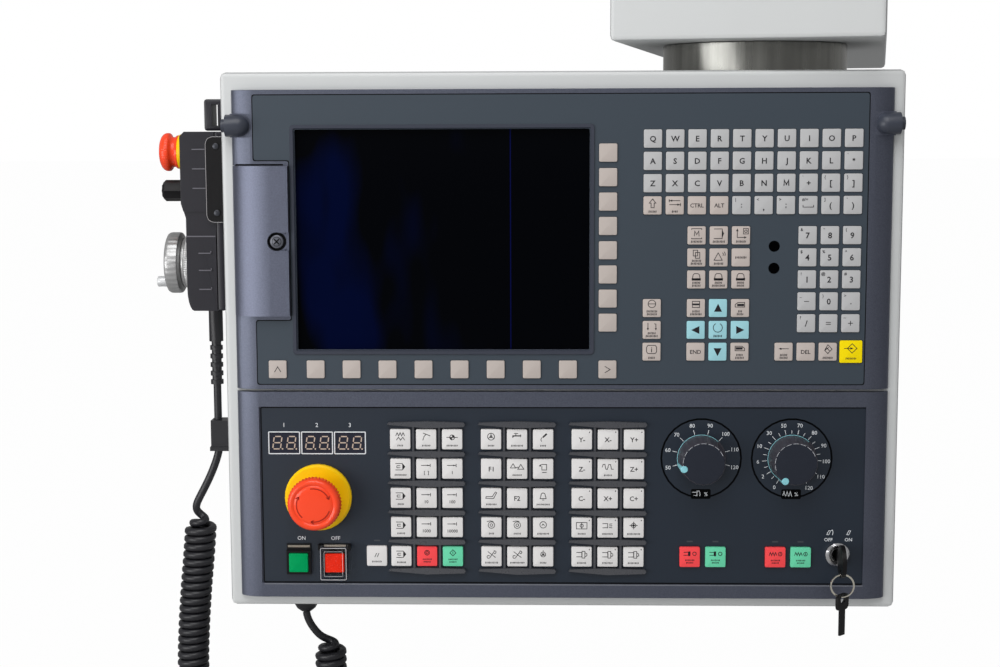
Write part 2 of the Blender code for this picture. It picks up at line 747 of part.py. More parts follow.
def arm():
    """The beam that the console hangs from, with the swivel's bearing, disc and nut."""
    half, inner_half = ARM_WIDTH / 2, ARM_WIDTH / 2 - ARM_WALL
    low, high = -ARM_RIM / 2, ARM_HEIGHT - ARM_RIM / 2
    nose = -ARM_FRONT_LENGTH - ARM_REAR_LENGTH
    beam = boxes("arm", [((-half, nose, low), (half, 0, high))])
    piece("arm_housing", beam, PAINT, parent=ARM_FRAME)
    bevel(beam, ARM_FILLET, 2)
    hollow = boxes("arm_hollow", [((-inner_half, nose + ARM_WALL, low + ARM_WALL),
                                   (inner_half, -ARM_WALL, high - ARM_WALL))])
    cut(beam, tool(hollow, parent=ARM_FRAME))
    way = half - ARM_RIM
    mouth = boxes("arm_mouth", [((-way, -ARM_WALL - OVERRUN, low + ARM_RIM),
                                 (way, OVERRUN, high - ARM_RIM))])
    cut(beam, tool(mouth, parent=ARM_FRAME))
    bearing_low = ARM_WALL + GAP
    bearing_high = bearing_low + BEARING_HEIGHT
    nut_low = bearing_high + GAP
    nut_high = nut_low + NUT_HEIGHT
    bm = bmesh.new()
    rod(bm, (0, 0, -OVERRUN), (0, 0, ARM_WALL + OVERRUN), BEARING_RADIUS - BEARING_LIP)
    cut(beam, tool(from_bmesh("swivel_hole", bm), parent=SWIVEL))

    inner = SPINDLE_RADIUS + GAP
    ring = turned("bearing", [(inner, bearing_high), (BEARING_RADIUS, bearing_high),
                              (BEARING_RADIUS, bearing_low), (inner, bearing_low)])
    piece("swivel_bearing", ring, STEEL, parent=SWIVEL)

    disc_low = -GAP - DISC_HEIGHT
    disc = turned("disc", [
        (0, nut_high),
        (SPINDLE_RADIUS, nut_high),
        (SPINDLE_RADIUS, -GAP),
        (DISC_RADIUS - DISC_CHAMFER, -GAP),
        (DISC_RADIUS, -GAP - DISC_CHAMFER),
        (DISC_RADIUS, disc_low),
        (0, disc_low),
    ], ROUND + SMALL_ROUND)
    piece("swivel_disc", disc, STEEL, parent=SWIVEL)

    bm = bmesh.new()
    rod(bm, (0, 0, nut_low), (0, 0, nut_high), NUT_RADIUS, 6)
    nut = piece("swivel_nut", from_bmesh("nut", bm), STEEL, parent=SWIVEL)
    bm = bmesh.new()
    rod(bm, (0, 0, nut_low - OVERRUN), (0, 0, nut_high + OVERRUN), inner)
    cut(nut, tool(from_bmesh("nut_bore", bm), parent=SWIVEL))


def console_box():
    """The sheet box with its two front windows, and the cover over its open back."""
    half = BOX_WIDTH / 2
    inner = half - BOX_WALL
    box = boxes("box", [((-half, BOX_FRONT, -BOX_BOTTOM), (half, BOX_REAR, BOX_TOP_MARGIN))])
    piece("console_housing", box, PAINT)
    bevel(box, BOX_FILLET, 2)
    cavity = boxes("box_cavity", [
        ((-inner, BOX_FRONT + BOX_WALL, -BOX_BOTTOM + BOX_WALL),
         (inner, BOX_REAR - BOX_WALL, BOX_TOP_MARGIN - BOX_WALL)),
    ])
    cut(box, tool(cavity))
    rear = half - BOX_REAR_FLANGE
    windows = boxes("box_windows", [
        ((-rear, BOX_REAR - BOX_WALL - OVERRUN, -BOX_BOTTOM + BOX_REAR_FLANGE),
         (rear, BOX_REAR + OVERRUN, BOX_TOP_MARGIN - BOX_REAR_FLANGE)),
        ((-POCKET_HALF_WIDTH, 0, -UPPER_HEIGHT + PANEL_RIM),
         (POCKET_HALF_WIDTH, BOX_FRONT + BOX_WALL + OVERRUN, -PANEL_RIM)),
        ((-POCKET_HALF_WIDTH, 0, -LOWER_BOTTOM + PANEL_RIM),
         (POCKET_HALF_WIDTH, BOX_FRONT + BOX_WALL + OVERRUN, -LOWER_TOP - PANEL_RIM)),
    ])
    cut(box, tool(windows))
    bm = bmesh.new()
    rod(bm, (OUTLET_X, PENDANT_Y, -BOX_BOTTOM - OVERRUN),
        (OUTLET_X, PENDANT_Y, -BOX_BOTTOM + BOX_WALL + OVERRUN), OUTLET_THREAD_RADIUS + GAP, SMALL_ROUND)
    cut(box, tool(from_bmesh("outlet_hole", bm)))

    lap = half - BOX_REAR_FLANGE + COVER_LAP
    low = -BOX_BOTTOM + BOX_REAR_FLANGE - COVER_LAP
    high = BOX_TOP_MARGIN - BOX_REAR_FLANGE + COVER_LAP
    near = BOX_REAR + GAP
    cover = boxes("cover", [((-lap, near, low), (lap, near + COVER_THICKNESS, high))])
    piece("rear_cover", cover, PAINT)
    bm = bmesh.new()
    heads = near + COVER_THICKNESS
    for x in (-lap + COVER_SCREW_INSET, 0, lap - COVER_SCREW_INSET):
        for z in (low + COVER_SCREW_INSET, high - COVER_SCREW_INSET):
            rod(bm, (x, heads - COVER_THICKNESS / 2, z), (x, heads + COVER_SCREW_HEIGHT, z),
                COVER_SCREW_RADIUS, 12)
    join(cover, tool(from_bmesh("cover_screws", bm)))


def rail_depth(x):
    """How far the rail's surface lies behind the panels' front plane."""
    beyond = abs(x) - (PANEL_WIDTH / 2 - RAIL_WIDTH)
    if beyond <= 0:
        return 0.0
    return PANEL_PROUD * (1 - math.sqrt(max(0.0, 1 - (beyond / RAIL_WIDTH) ** 2)))


def panel_blank(name, height):
    """A panel's plan outline, with its rounded rails, drawn up by its height."""
    half = PANEL_WIDTH / 2
    start = half - RAIL_WIDTH
    right = arc((start, PANEL_PROUD), (RAIL_WIDTH, PANEL_PROUD), -90, -6)
    left = [(-x, y) for x, y in reversed(right)]
    blank = outline_mesh(name, left + right + [(half, PANEL_BACK), (-half, PANEL_BACK)], height)
    return blank


def panel_pocket(top, bottom, floor):
    """The hollow behind a panel's plate."""
    return ((-POCKET_HALF_WIDTH, floor, -bottom + PANEL_RIM),
            (POCKET_HALF_WIDTH, PANEL_PROUD + OVERRUN, -top - PANEL_RIM))


def key_spots():
    """The places, x and z, of the keys that the upper panel's mat carries."""
    def spot(column, top, row):
        return (KEYS_LEFT + column * KEY_PITCH, -top - row * KEY_PITCH)

    spots = [spot(c, LETTERS_TOP, r) for r in range(LETTER_ROWS) for c in range(LETTER_COLUMNS)]
    spots += [spot(c, NUMBERS_TOP, r) for r in range(NUMBER_ROWS) for c in NUMBER_COLUMNS]
    spots += [spot(c, top, r) for top in (NUMBERS_TOP, CURSOR_TOP) for r in range(MENU_ROWS)
              for c in MENU_COLUMNS]
    spots += [spot(ALARM_COLUMN, CURSOR_TOP, r) for r in range(MENU_ROWS)]
    spots += [spot(c, CURSOR_TOP, BOTTOM_ROW) for c in EDIT_COLUMNS]
    return spots


def softkey_spots():
    spots = [(SIDE_SOFTKEY_X, -SIDE_SOFTKEY_TOP - i * SIDE_SOFTKEY_PITCH) for i in range(SIDE_SOFTKEYS)]
    spots += [(LOW_SOFTKEY_LEFT + i * LOW_SOFTKEY_PITCH, -LOW_SOFTKEY_Z) for i in range(LOW_SOFTKEYS)]
    spots += [(RECALL_KEY_X, -LOW_SOFTKEY_Z), (SIDE_SOFTKEY_X, -LOW_SOFTKEY_Z)]
    return spots


INPUT_SPOT = (INPUT_X, -CURSOR_TOP - BOTTOM_ROW * KEY_PITCH)
LAMP_SPOTS = ((LAMP_X, -LAMP_TOP), (LAMP_X, -LAMP_TOP - KEY_PITCH))


def square(spot, size, near, far):
    """The corners of a square prism about a place, from one depth to another."""
    x, z = spot
    return ((x - size / 2, near, z - size / 2), (x + size / 2, far, z + size / 2))


def upper_panel():
    panel = piece("upper_panel", panel_blank("upper", UPPER_HEIGHT), PANEL_PLASTIC, at=(0, 0, -UPPER_HEIGHT))
    bevel(panel, PANEL_EDGE_FILLET, 1)
    hole = KEY_SIZE + 2 * GAP
    corners = [panel_pocket(0, UPPER_HEIGHT, PANEL_FLOOR)]
    cut(panel, tool(boxes("upper_pocket", corners)))
    corners = [square(spot, hole, -OVERRUN, PANEL_FLOOR + OVERRUN) for spot in key_spots() + softkey_spots()]
    corners.append(square(INPUT_SPOT, INPUT_SIZE + 2 * GAP, -OVERRUN, PANEL_FLOOR + OVERRUN))
    flap_middle = -FLAP_TOP - FLAP_HEIGHT / 2
    port_left = -POCKET_HALF_WIDTH
    corners.append(((port_left, -OVERRUN, flap_middle - PORT_HEIGHT / 2),
                    (port_left + PORT_WIDTH, PANEL_FLOOR + OVERRUN, flap_middle + PORT_HEIGHT / 2)))
    cut(panel, tool(boxes("upper_holes", corners)))
    bm = bmesh.new()
    for x, z in LAMP_SPOTS:
        rod(bm, (x, -OVERRUN, z), (x, PANEL_FLOOR + OVERRUN, z), LAMP_RADIUS, SMALL_ROUND)
    screw_x = FLAP_RIGHT - SCREW_FROM_EDGE
    rod(bm, (screw_x, -OVERRUN, flap_middle), (screw_x, PANEL_FLOOR + OVERRUN, flap_middle),
        SCREW_SHANK_RADIUS + 2 * GAP, 12)
    cut(panel, tool(from_bmesh("upper_round_holes", bm)))
    cut(panel, tool(screen_opening()))
    cut(panel, tool(boxes("rail_notch", [
        ((-PANEL_WIDTH / 2 - OVERRUN, -OVERRUN, -FLAP_TOP - FLAP_HEIGHT - GAP),
         (-PANEL_WIDTH / 2 + NOTCH_WIDTH, PANEL_PROUD + OVERRUN, -FLAP_TOP + GAP)),
    ])))
    reach = FLAP_PIN_LENGTH + GAP
    cut(panel, tool(rods("flap_pin_holes", [
        ((BARREL_X, BARREL_Y, -FLAP_TOP - FLAP_HEIGHT - reach), (BARREL_X, BARREL_Y, -FLAP_TOP + reach)),
    ], FLAP_PIN_RADIUS + GAP, 12)))
    for side in (-1, 1):
        seat = side * (PANEL_WIDTH / 2 + PEG_OUT + OVERRUN)
        end = side * (PANEL_WIDTH / 2 + PEG_OUT - PEG_LENGTH - GAP)
        bm = bmesh.new()
        rod(bm, (seat, -PEG_LIFT, -PEG_Z), (end, -PEG_LIFT, -PEG_Z), PEG_RADIUS + GAP, SMALL_ROUND)
        cut(panel, tool(from_bmesh("peg_seat", bm)))


def screen_opening():
    """The window's cutter: straight at the back, sloped out to the front."""
    low = (SCREEN_X - SCREEN_WIDTH / 2, -SCREEN_TOP - SCREEN_HEIGHT)
    high = (SCREEN_X + SCREEN_WIDTH / 2, -SCREEN_TOP)
    bm = bmesh.new()
    made = block(bm, (low[0], -BEZEL_DEPTH, low[1]), (high[0], PANEL_FLOOR + OVERRUN, high[1]))
    middle = Vector((SCREEN_X, 0, -SCREEN_TOP - SCREEN_HEIGHT / 2))
    bmesh.ops.bisect_plane(bm, geom=bm.verts[:] + bm.edges[:] + bm.faces[:],
                           plane_co=(0, BEZEL_DEPTH, 0), plane_no=(0, 1, 0))
    slope = 2 * BEZEL_SLOPE
    for vertex in made:
        if vertex.co.y < 0:
            vertex.co.x = middle.x + (vertex.co.x - middle.x) * (1 + 2 * slope / SCREEN_WIDTH)
            vertex.co.z = middle.z + (vertex.co.z - middle.z) * (1 + 2 * slope / SCREEN_HEIGHT)
    return from_bmesh("screen_opening", bm)


def screen():
    """The glass behind the window, and the display and control unit behind it."""
    low = (SCREEN_X - SCREEN_WIDTH / 2 - GLASS_LAP, -SCREEN_TOP - SCREEN_HEIGHT - GLASS_LAP)
    high = (SCREEN_X + SCREEN_WIDTH / 2 + GLASS_LAP, -SCREEN_TOP + GLASS_LAP)
    back = MAT_FRONT + GLASS_THICKNESS
    piece("screen_glass", boxes("glass", [((low[0], MAT_FRONT, low[1]), (high[0], back, high[1]))]), GLASS)
    unit_left = -POCKET_HALF_WIDTH + PORT_WIDTH + UNIT_MARGIN
    unit_right = POCKET_HALF_WIDTH - UNIT_MARGIN
    rim = PANEL_RIM + UNIT_MARGIN
    unit = boxes("unit", [((unit_left, UNIT_FRONT, -UPPER_HEIGHT + rim),
                           (unit_right, UNIT_FRONT + UNIT_DEPTH, -rim))])
    piece("display_unit", unit, DARK_PLASTIC)
    join(unit, tool(boxes("display_block", [((low[0], back + GAP, low[1]),
                                             (high[0], UNIT_FRONT + OVERRUN, high[1]))])))


def key_caps(name, spots, size, near, far):
    bm = bmesh.new()
    for spot in spots:
        low, high = square(spot, size, near, far)
        block(bm, low, high)
    return from_bmesh(name, bm)


def upper_keys():
    """The mat behind the upper panel with its keys, the softkeys' mat, and the sprung input key."""
    spots = key_spots()
    far = MAT_FRONT + MAT_THICKNESS
    reach = KEY_SIZE / 2 + MAT_MARGIN
    low = (min(x for x, z in spots) - reach, min(z for x, z in spots) - reach)
    high = (max(x for x, z in spots) + reach, max(z for x, z in spots) + reach)
    mat = boxes("mat", [((low[0], MAT_FRONT, low[1]), (high[0], far, high[1]))])
    piece("keyboard_mat", mat, KEY_PLASTIC)
    join(mat, tool(key_caps("letter_caps", spots, KEY_SIZE, -KEY_PROUD, far - GAP)))
    flange = INPUT_SIZE + 2 * FLANGE_LAP
    cut(mat, tool(boxes("input_window", [square(INPUT_SPOT, flange + 2 * GAP, -OVERRUN, far + OVERRUN)])))
    bm = bmesh.new()
    for x, z in LAMP_SPOTS:
        rod(bm, (x, -OVERRUN, z), (x, far + OVERRUN, z), LAMP_RADIUS, SMALL_ROUND)
    cut(mat, tool(from_bmesh("lamp_holes", bm)))
    stroke_key("input_key", INPUT_SPOT, INPUT_SIZE, -KEY_PROUD, MAT_FRONT, YELLOW)

    side_low = -LOW_SOFTKEY_Z - reach
    left = RECALL_KEY_X - reach
    right = SIDE_SOFTKEY_X + reach
    strips = boxes("softkey_strip", [((left, MAT_FRONT, side_low), (right, far, -LOW_SOFTKEY_Z + reach))])
    piece("softkeys", strips, KEY_PLASTIC)
    upright = boxes("softkey_upright", [((SIDE_SOFTKEY_X - reach, MAT_FRONT, side_low),
                                         (right, far, -SIDE_SOFTKEY_TOP + reach))])
    join(strips, tool(upright))
    join(strips, tool(key_caps("softkey_caps", softkey_spots(), KEY_SIZE, -KEY_PROUD, far - GAP)))


def stroke_key(name, spot, size, front_y, flange_y, colour):
    """A short-stroke key: its cap passes through the plate and a flange keeps it there."""
    x, z = spot
    half = size / 2
    lap = half + FLANGE_LAP
    back = flange_y + FLANGE_THICKNESS
    key = boxes(name, [((-half, front_y, -half), (half, flange_y + FLANGE_THICKNESS / 2, half))])
    piece(name, key, colour, at=(x, 0, z))
    join(key, tool(boxes(f"{name}_flange", [((-lap, flange_y, -lap), (lap, back, lap))]), at=(x, 0, z)))


def flap_outline(inset, back):
    """The port flap's section in plan; inset is how far it lies inside the outer face."""
    middle = FLAP_LEFT + FLAP_CURVE
    radii = (FLAP_CURVE - inset, BARREL_Y + FLAP_BULGE - inset)
    bulge = arc((middle, BARREL_Y), radii, -180, -90, ARC_STEPS)
    right = FLAP_RIGHT - inset
    return bulge + [(right, -FLAP_BULGE + inset), (right, back)]


def port_flap():
    """The moulded flap over the service ports, hinged at its outer edge and held by a captive screw."""
    middle = -FLAP_TOP - FLAP_HEIGHT / 2
    rail_start = -PANEL_WIDTH / 2 + RAIL_WIDTH
    notch_edge = -PANEL_WIDTH / 2 + NOTCH_WIDTH - GAP
    under = [(rail_start, -GAP)]
    for i in range(1, ARC_STEPS + 1):
        x = rail_start + (notch_edge - rail_start) * i / ARC_STEPS
        under.append((x, rail_depth(x) - 2 * GAP))
    under.append((notch_edge, BARREL_Y))
    outer = outline_mesh("flap", flap_outline(0, -GAP) + under, FLAP_HEIGHT - 2 * GAP)
    hinge = (BARREL_X, BARREL_Y, middle)
    shift = (-BARREL_X, -BARREL_Y, -FLAP_HEIGHT / 2 + GAP)
    outer.data.transform(Matrix.Translation(shift))
    flap = piece("port_flap", outer, PANEL_PLASTIC, at=hinge)
    inner_left = notch_edge - FLAP_WALL / 2
    hollow_points = [p for p in flap_outline(FLAP_WALL, PANEL_PROUD + OVERRUN) if p[0] > inner_left]
    hollow_points.append((inner_left, PANEL_PROUD + OVERRUN))
    hollow = outline_mesh("flap_hollow", hollow_points, FLAP_HEIGHT - 2 * FLAP_WALL)
    hollow.data.transform(Matrix.Translation((0, 0, middle - FLAP_HEIGHT / 2 + FLAP_WALL)))
    cut(flap, tool(hollow))
    half = FLAP_HEIGHT / 2 - GAP
    join(flap, tool(rods("flap_barrel", [((0, 0, -half), (0, 0, half))], BARREL_RADIUS, 12), at=hinge))
    pins = half + GAP + FLAP_PIN_LENGTH
    join(flap, tool(rods("flap_pins", [((0, 0, -pins), (0, 0, pins))], FLAP_PIN_RADIUS, 12), at=hinge))
    screw = (FLAP_RIGHT - SCREW_FROM_EDGE, 0, middle)
    seat = -FLAP_BULGE + SCREW_RECESS_DEPTH
    boss = [((0, -FLAP_BULGE + GAP, 0), (0, -GAP, 0))]
    join(flap, tool(rods("flap_boss", boss, FLAP_BOSS_RADIUS), at=screw))
    cut(flap, tool(rods("screw_recess", [((0, -FLAP_BULGE - OVERRUN, 0), (0, seat, 0))],
                        SCREW_RECESS_RADIUS, 24), at=screw))
    cut(flap, tool(rods("screw_hole", [((0, -FLAP_BULGE - OVERRUN, 0), (0, OVERRUN, 0))],
                        SCREW_SHANK_RADIUS + GAP, 12), at=screw))
    cut(flap, tool(boxes("screw_notch", [((0, -FLAP_BULGE - OVERRUN, -SCREW_NOTCH_WIDTH / 2),
                                          (SCREW_FROM_EDGE + OVERRUN, seat, SCREW_NOTCH_WIDTH / 2))]),
                   at=screw))
    bevel(flap, FLAP_WALL / 4, 1, 60)

    head_low = -seat + GAP
    head = head_low + SCREW_HEAD_HEIGHT
    captive = turned("screw", [
        (0, head),
        (SCREW_HEAD_RADIUS * SCREW_CROWN_SHARE, head),
        (SCREW_HEAD_RADIUS, head - SCREW_HEAD_HEIGHT / 4),
        (SCREW_HEAD_RADIUS, head_low),
        (SCREW_SHANK_RADIUS, head_low),
        (SCREW_SHANK_RADIUS, front(PANEL_FLOOR / 2)),
        (0, front(PANEL_FLOOR / 2)),
    ], SMALL_ROUND)
    piece("flap_screw", captive, STEEL, at=screw, turn=FACING)
    slot = SCREW_HEAD_RADIUS * SCREW_SLOT_SHARE
    width = SCREW_SLOT_WIDTH / 2
    deep = head - SCREW_HEAD_HEIGHT / 2
    for name, x, y in (("screw_slot_across", slot, width), ("screw_slot_down", width, slot)):
        cut(captive, tool(boxes(name, [((-x, -y, deep), (x, y, head + OVERRUN))]), at=screw, turn=FACING))


def port_block():
    """The service sockets behind the flap."""
    middle = -FLAP_TOP - FLAP_HEIGHT / 2
    left = -POCKET_HALF_WIDTH + GAP
    right = -POCKET_HALF_WIDTH + PORT_WIDTH + UNIT_MARGIN - GAP
    half = PORT_HEIGHT / 2
    low, high = (left, MAT_FRONT, middle - half), (right, MAT_FRONT + PORT_DEPTH, middle + half)
    made = piece("port_block", boxes("ports", [(low, high)]), DARK_PLASTIC)
    centre = -POCKET_HALF_WIDTH + PORT_WIDTH / 2
    sockets = []
    for height_share, width_share, length_share in SOCKET_SHARES:
        z = middle + half * height_share
        wide = PORT_WIDTH * width_share / 2
        tall = half * length_share / 2 + PORT_WIDTH * width_share / 4
        deep = MAT_FRONT + SOCKET_DEPTH
        sockets.append(((centre - wide, -OVERRUN, z - tall), (centre + wide, deep, z + tall)))
    cut(made, tool(boxes("sockets", sockets)))


def cover_pegs():
    """Two rubber pegs, each a domed cylinder on a stub, lying in a seat in the rail."""
    straight = PEG_LENGTH - PEG_RADIUS
    for name, side in (("left_cover_peg", -1), ("right_cover_peg", 1)):
        dome = arc((0, straight), (PEG_RADIUS, PEG_RADIUS), 90, 0, DOME_STEPS)
        profile = [(0, straight + PEG_RADIUS)] + dome[1:]
        profile += [(PEG_RADIUS, 0), (PEG_STUB_RADIUS, 0), (PEG_STUB_RADIUS, -PEG_STUB_LENGTH)]
        profile += [(0, -PEG_STUB_LENGTH)]
        peg = turned(name, profile, SMALL_ROUND)
        place = (side * (PANEL_WIDTH / 2 + PEG_OUT), -PEG_LIFT, -PEG_Z)
        piece(name, peg, RUBBER, at=place, turn=(0, -side * math.pi / 2, 0))


def machine_spots():
    """The places of the machine keys, block by block, with the two that move left out."""
    found, moving = [], []
    for block_number, middle in enumerate(BLOCKS_X):
        for row in range(BLOCK_ROWS):
            for column in range(BLOCK_COLUMNS):
                offset = (column - (BLOCK_COLUMNS - 1) / 2) * MACHINE_COLUMN_PITCH
                spot = (middle + offset, -MACHINE_KEYS_TOP - row * MACHINE_ROW_PITCH)
                alone = block_number == 0 and row == BLOCK_ROWS - 1 and column > 0
                (moving if alone else found).append(spot)
    return found, moving


MACHINE_ROW_5 = -MACHINE_KEYS_TOP - (BLOCK_ROWS - 1) * MACHINE_ROW_PITCH
RESET_SPOT = (RESET_X, MACHINE_ROW_5)


def lower_panel():
    panel = piece("lower_panel", panel_blank("lower", LOWER_HEIGHT), PANEL_PLASTIC, at=(0, 0, -LOWER_BOTTOM))
    bevel(panel, PANEL_EDGE_FILLET, 1)
    cut(panel, tool(boxes("inset", [
        ((-INSET_HALF_WIDTH, -OVERRUN, -LOWER_BOTTOM + INSET_BOTTOM),
         (INSET_HALF_WIDTH, INSET_DEPTH, -LOWER_TOP - INSET_TOP)),
    ])))
    cut(panel, tool(boxes("lower_pocket", [panel_pocket(LOWER_TOP, LOWER_BOTTOM, LOWER_PLATE_BACK)])))
    still, moving = machine_spots()
    near, far = -OVERRUN, LOWER_PLATE_BACK + OVERRUN
    hole = MACHINE_KEY_SIZE + 2 * GAP
    spots = still + moving + [RESET_SPOT] + [(x, MACHINE_ROW_5) for x in COLOURED_KEYS_X]
    corners = [square(spot, hole, near, far) for spot in spots]
    for x in (POWER_ON_X, POWER_OFF_X):
        corners.append(square((x, -POWER_Z), POWER_BODY_SIZE + 2 * GAP, near, far))
    for x in digit_places():
        wide, tall = DIGIT_WIDTH / 2, DIGIT_HEIGHT / 2
        corners.append(((x - wide, near, -DIGIT_Z - tall), (x + wide, far, -DIGIT_Z + tall)))
    cut(panel, tool(boxes("lower_holes", corners)))
    bm = bmesh.new()
    rounds = ((STOP_X, STOP_Z, STOP_BARREL_RADIUS), (LOCK_X, LOCK_Z, LOCK_BARREL_RADIUS),
              (SPINDLE_KNOB_X, KNOB_Z, KNOB_SHAFT_RADIUS), (FEED_KNOB_X, KNOB_Z, KNOB_SHAFT_RADIUS))
    for x, z, radius in rounds:
        rod(bm, (x, near, -z), (x, far, -z), radius + RUNNING_GAP, SMALL_ROUND + 4)
    cut(panel, tool(from_bmesh("lower_round_holes", bm)))


def digit_places():
    middle = (DIGIT_WINDOWS - 1) / 2
    return [DIGIT_X + (i - middle) * DIGIT_PITCH for i in range(DIGIT_WINDOWS)]


def digit_display():
    """The module whose three windows show through the lower panel."""
    near = MACHINE_MAT_FRONT
    half = DIGIT_PITCH * DIGIT_WINDOWS / 2
    tall = DIGIT_HEIGHT / 2 + MAT_MARGIN
    module = boxes("digits", [((DIGIT_X - half, near, -DIGIT_Z - tall),
                               (DIGIT_X + half, near + DIGIT_DEPTH, -DIGIT_Z + tall))])
    piece("digit_display", module, DARK_PLASTIC)
    wide, high = DIGIT_WIDTH / 2 - GAP, DIGIT_HEIGHT / 2 - GAP
    face = INSET_DEPTH + DIGIT_SET_BACK
    windows = [((x - wide, face, -DIGIT_Z - high), (x + wide, near + GAP, -DIGIT_Z + high))
               for x in digit_places()]
    join(module, tool(boxes("digit_windows", windows)))


def machine_keys():
    """The mat of machine keys, the sprung coloured keys, and the circuit board that they press."""
    still, moving = machine_spots()
    far = MACHINE_MAT_FRONT + MAT_THICKNESS
    face = INSET_DEPTH - MACHINE_KEY_PROUD
    reach = MACHINE_KEY_SIZE / 2 + MAT_MARGIN
    low_z = MACHINE_ROW_5 - reach - GAP
    high_z = -MACHINE_KEYS_TOP + reach
    sheet = boxes("machine_mat", [((min(x for x, z in still) - reach, MACHINE_MAT_FRONT, low_z),
                                   (max(x for x, z in still) + reach, far, high_z))])
    piece("machine_keys", sheet, KEY_PLASTIC)
    tab = boxes("reset_tab", [((RESET_X - reach, MACHINE_MAT_FRONT, low_z),
                               (BLOCKS_X[0] - MACHINE_COLUMN_PITCH, far, MACHINE_ROW_5 + reach))])
    join(sheet, tool(tab))
    flange = MACHINE_KEY_SIZE + 2 * FLANGE_LAP + 2 * GAP
    cut(sheet, tool(boxes("moving_windows", [
        ((moving[0][0] - flange / 2, -OVERRUN, MACHINE_ROW_5 - flange / 2),
         (moving[-1][0] + flange / 2, far + OVERRUN, MACHINE_ROW_5 + flange / 2)),
    ])))
    join(sheet, tool(key_caps("machine_caps", still + [RESET_SPOT], MACHINE_KEY_SIZE, face, far - GAP)))
    names = ("cycle_stop_key", "cycle_start_key", "spindle_stop_key", "spindle_start_key",
             "feed_stop_key", "feed_start_key")
    places = [x for x, z in moving] + list(COLOURED_KEYS_X)
    for i, (name, x) in enumerate(zip(names, places)):
        colour = SOFT_GREEN if i % 2 else SOFT_RED
        stroke_key(name, (x, MACHINE_ROW_5), MACHINE_KEY_SIZE, face, MACHINE_MAT_FRONT, colour)
    low, high = (BOARD_LEFT, BOARD_FRONT, low_z), (BOARD_RIGHT, BOARD_FRONT + BOARD_THICKNESS, high_z)
    board = piece("key_circuit_board", boxes("board", [(low, high)]), BOARD_GREEN)
    bm = bmesh.new()
    for x in (SPINDLE_KNOB_X, FEED_KNOB_X):
        rod(bm, (x, 0, -KNOB_Z), (x, BOARD_FRONT + OVERRUN, -KNOB_Z), KNOB_SHAFT_RADIUS + RUNNING_GAP, 12)
    cut(board, tool(from_bmesh("board_holes", bm)))


def key_guards():
    """A grid over each block: lens-shaped bars between the rows, joined by two posts."""
    half_bar, half_width = GUARD_BAR / 2, GUARD_WIDTH / 2
    end = half_bar * GUARD_END_SHARE
    straight, thin = half_width - end, half_bar - GUARD_EDGE
    upper = [(straight, thin), (0, half_bar), (-straight, thin)]
    tip = arc((straight, 0), (end, thin), -90, 90, 2)
    points = tip[:-1] + upper + [(-x, -z) for x, z in tip[:-1]][1:] + [(0, -half_bar)]
    low = front(INSET_DEPTH) + GAP
    for name, middle in zip(("guard_left", "guard_middle", "guard_right"), BLOCKS_X):
        top = -MACHINE_KEYS_TOP + MACHINE_ROW_PITCH / 2
        rows = [top - i * MACHINE_ROW_PITCH for i in range(BLOCK_ROWS + 1)]
        post_low, post_high = rows[-1], rows[0]
        at = (middle, 0, 0)
        bars = []
        for i, z in enumerate(rows):
            bar = outline_mesh(f"{name}_bar_{i}", points, GUARD_PROUD)
            bar.data.transform(Matrix.Translation((0, z, low)))
            bars.append(bar)
        grid = piece(name, bars[0], GUARD_PLASTIC, at=at, turn=FACING)
        posts = []
        for side in (-1, 1):
            x = side * MACHINE_COLUMN_PITCH / 2
            posts.append(((x - GUARD_POST / 2, post_low, low),
                          (x + GUARD_POST / 2, post_high, low + GUARD_PROUD * GUARD_POST_SHARE)))
        join(grid, tool(boxes(f"{name}_posts", posts), at=at, turn=FACING))
        for bar in bars[1:]:
            join(grid, tool(bar, at=at, turn=FACING))


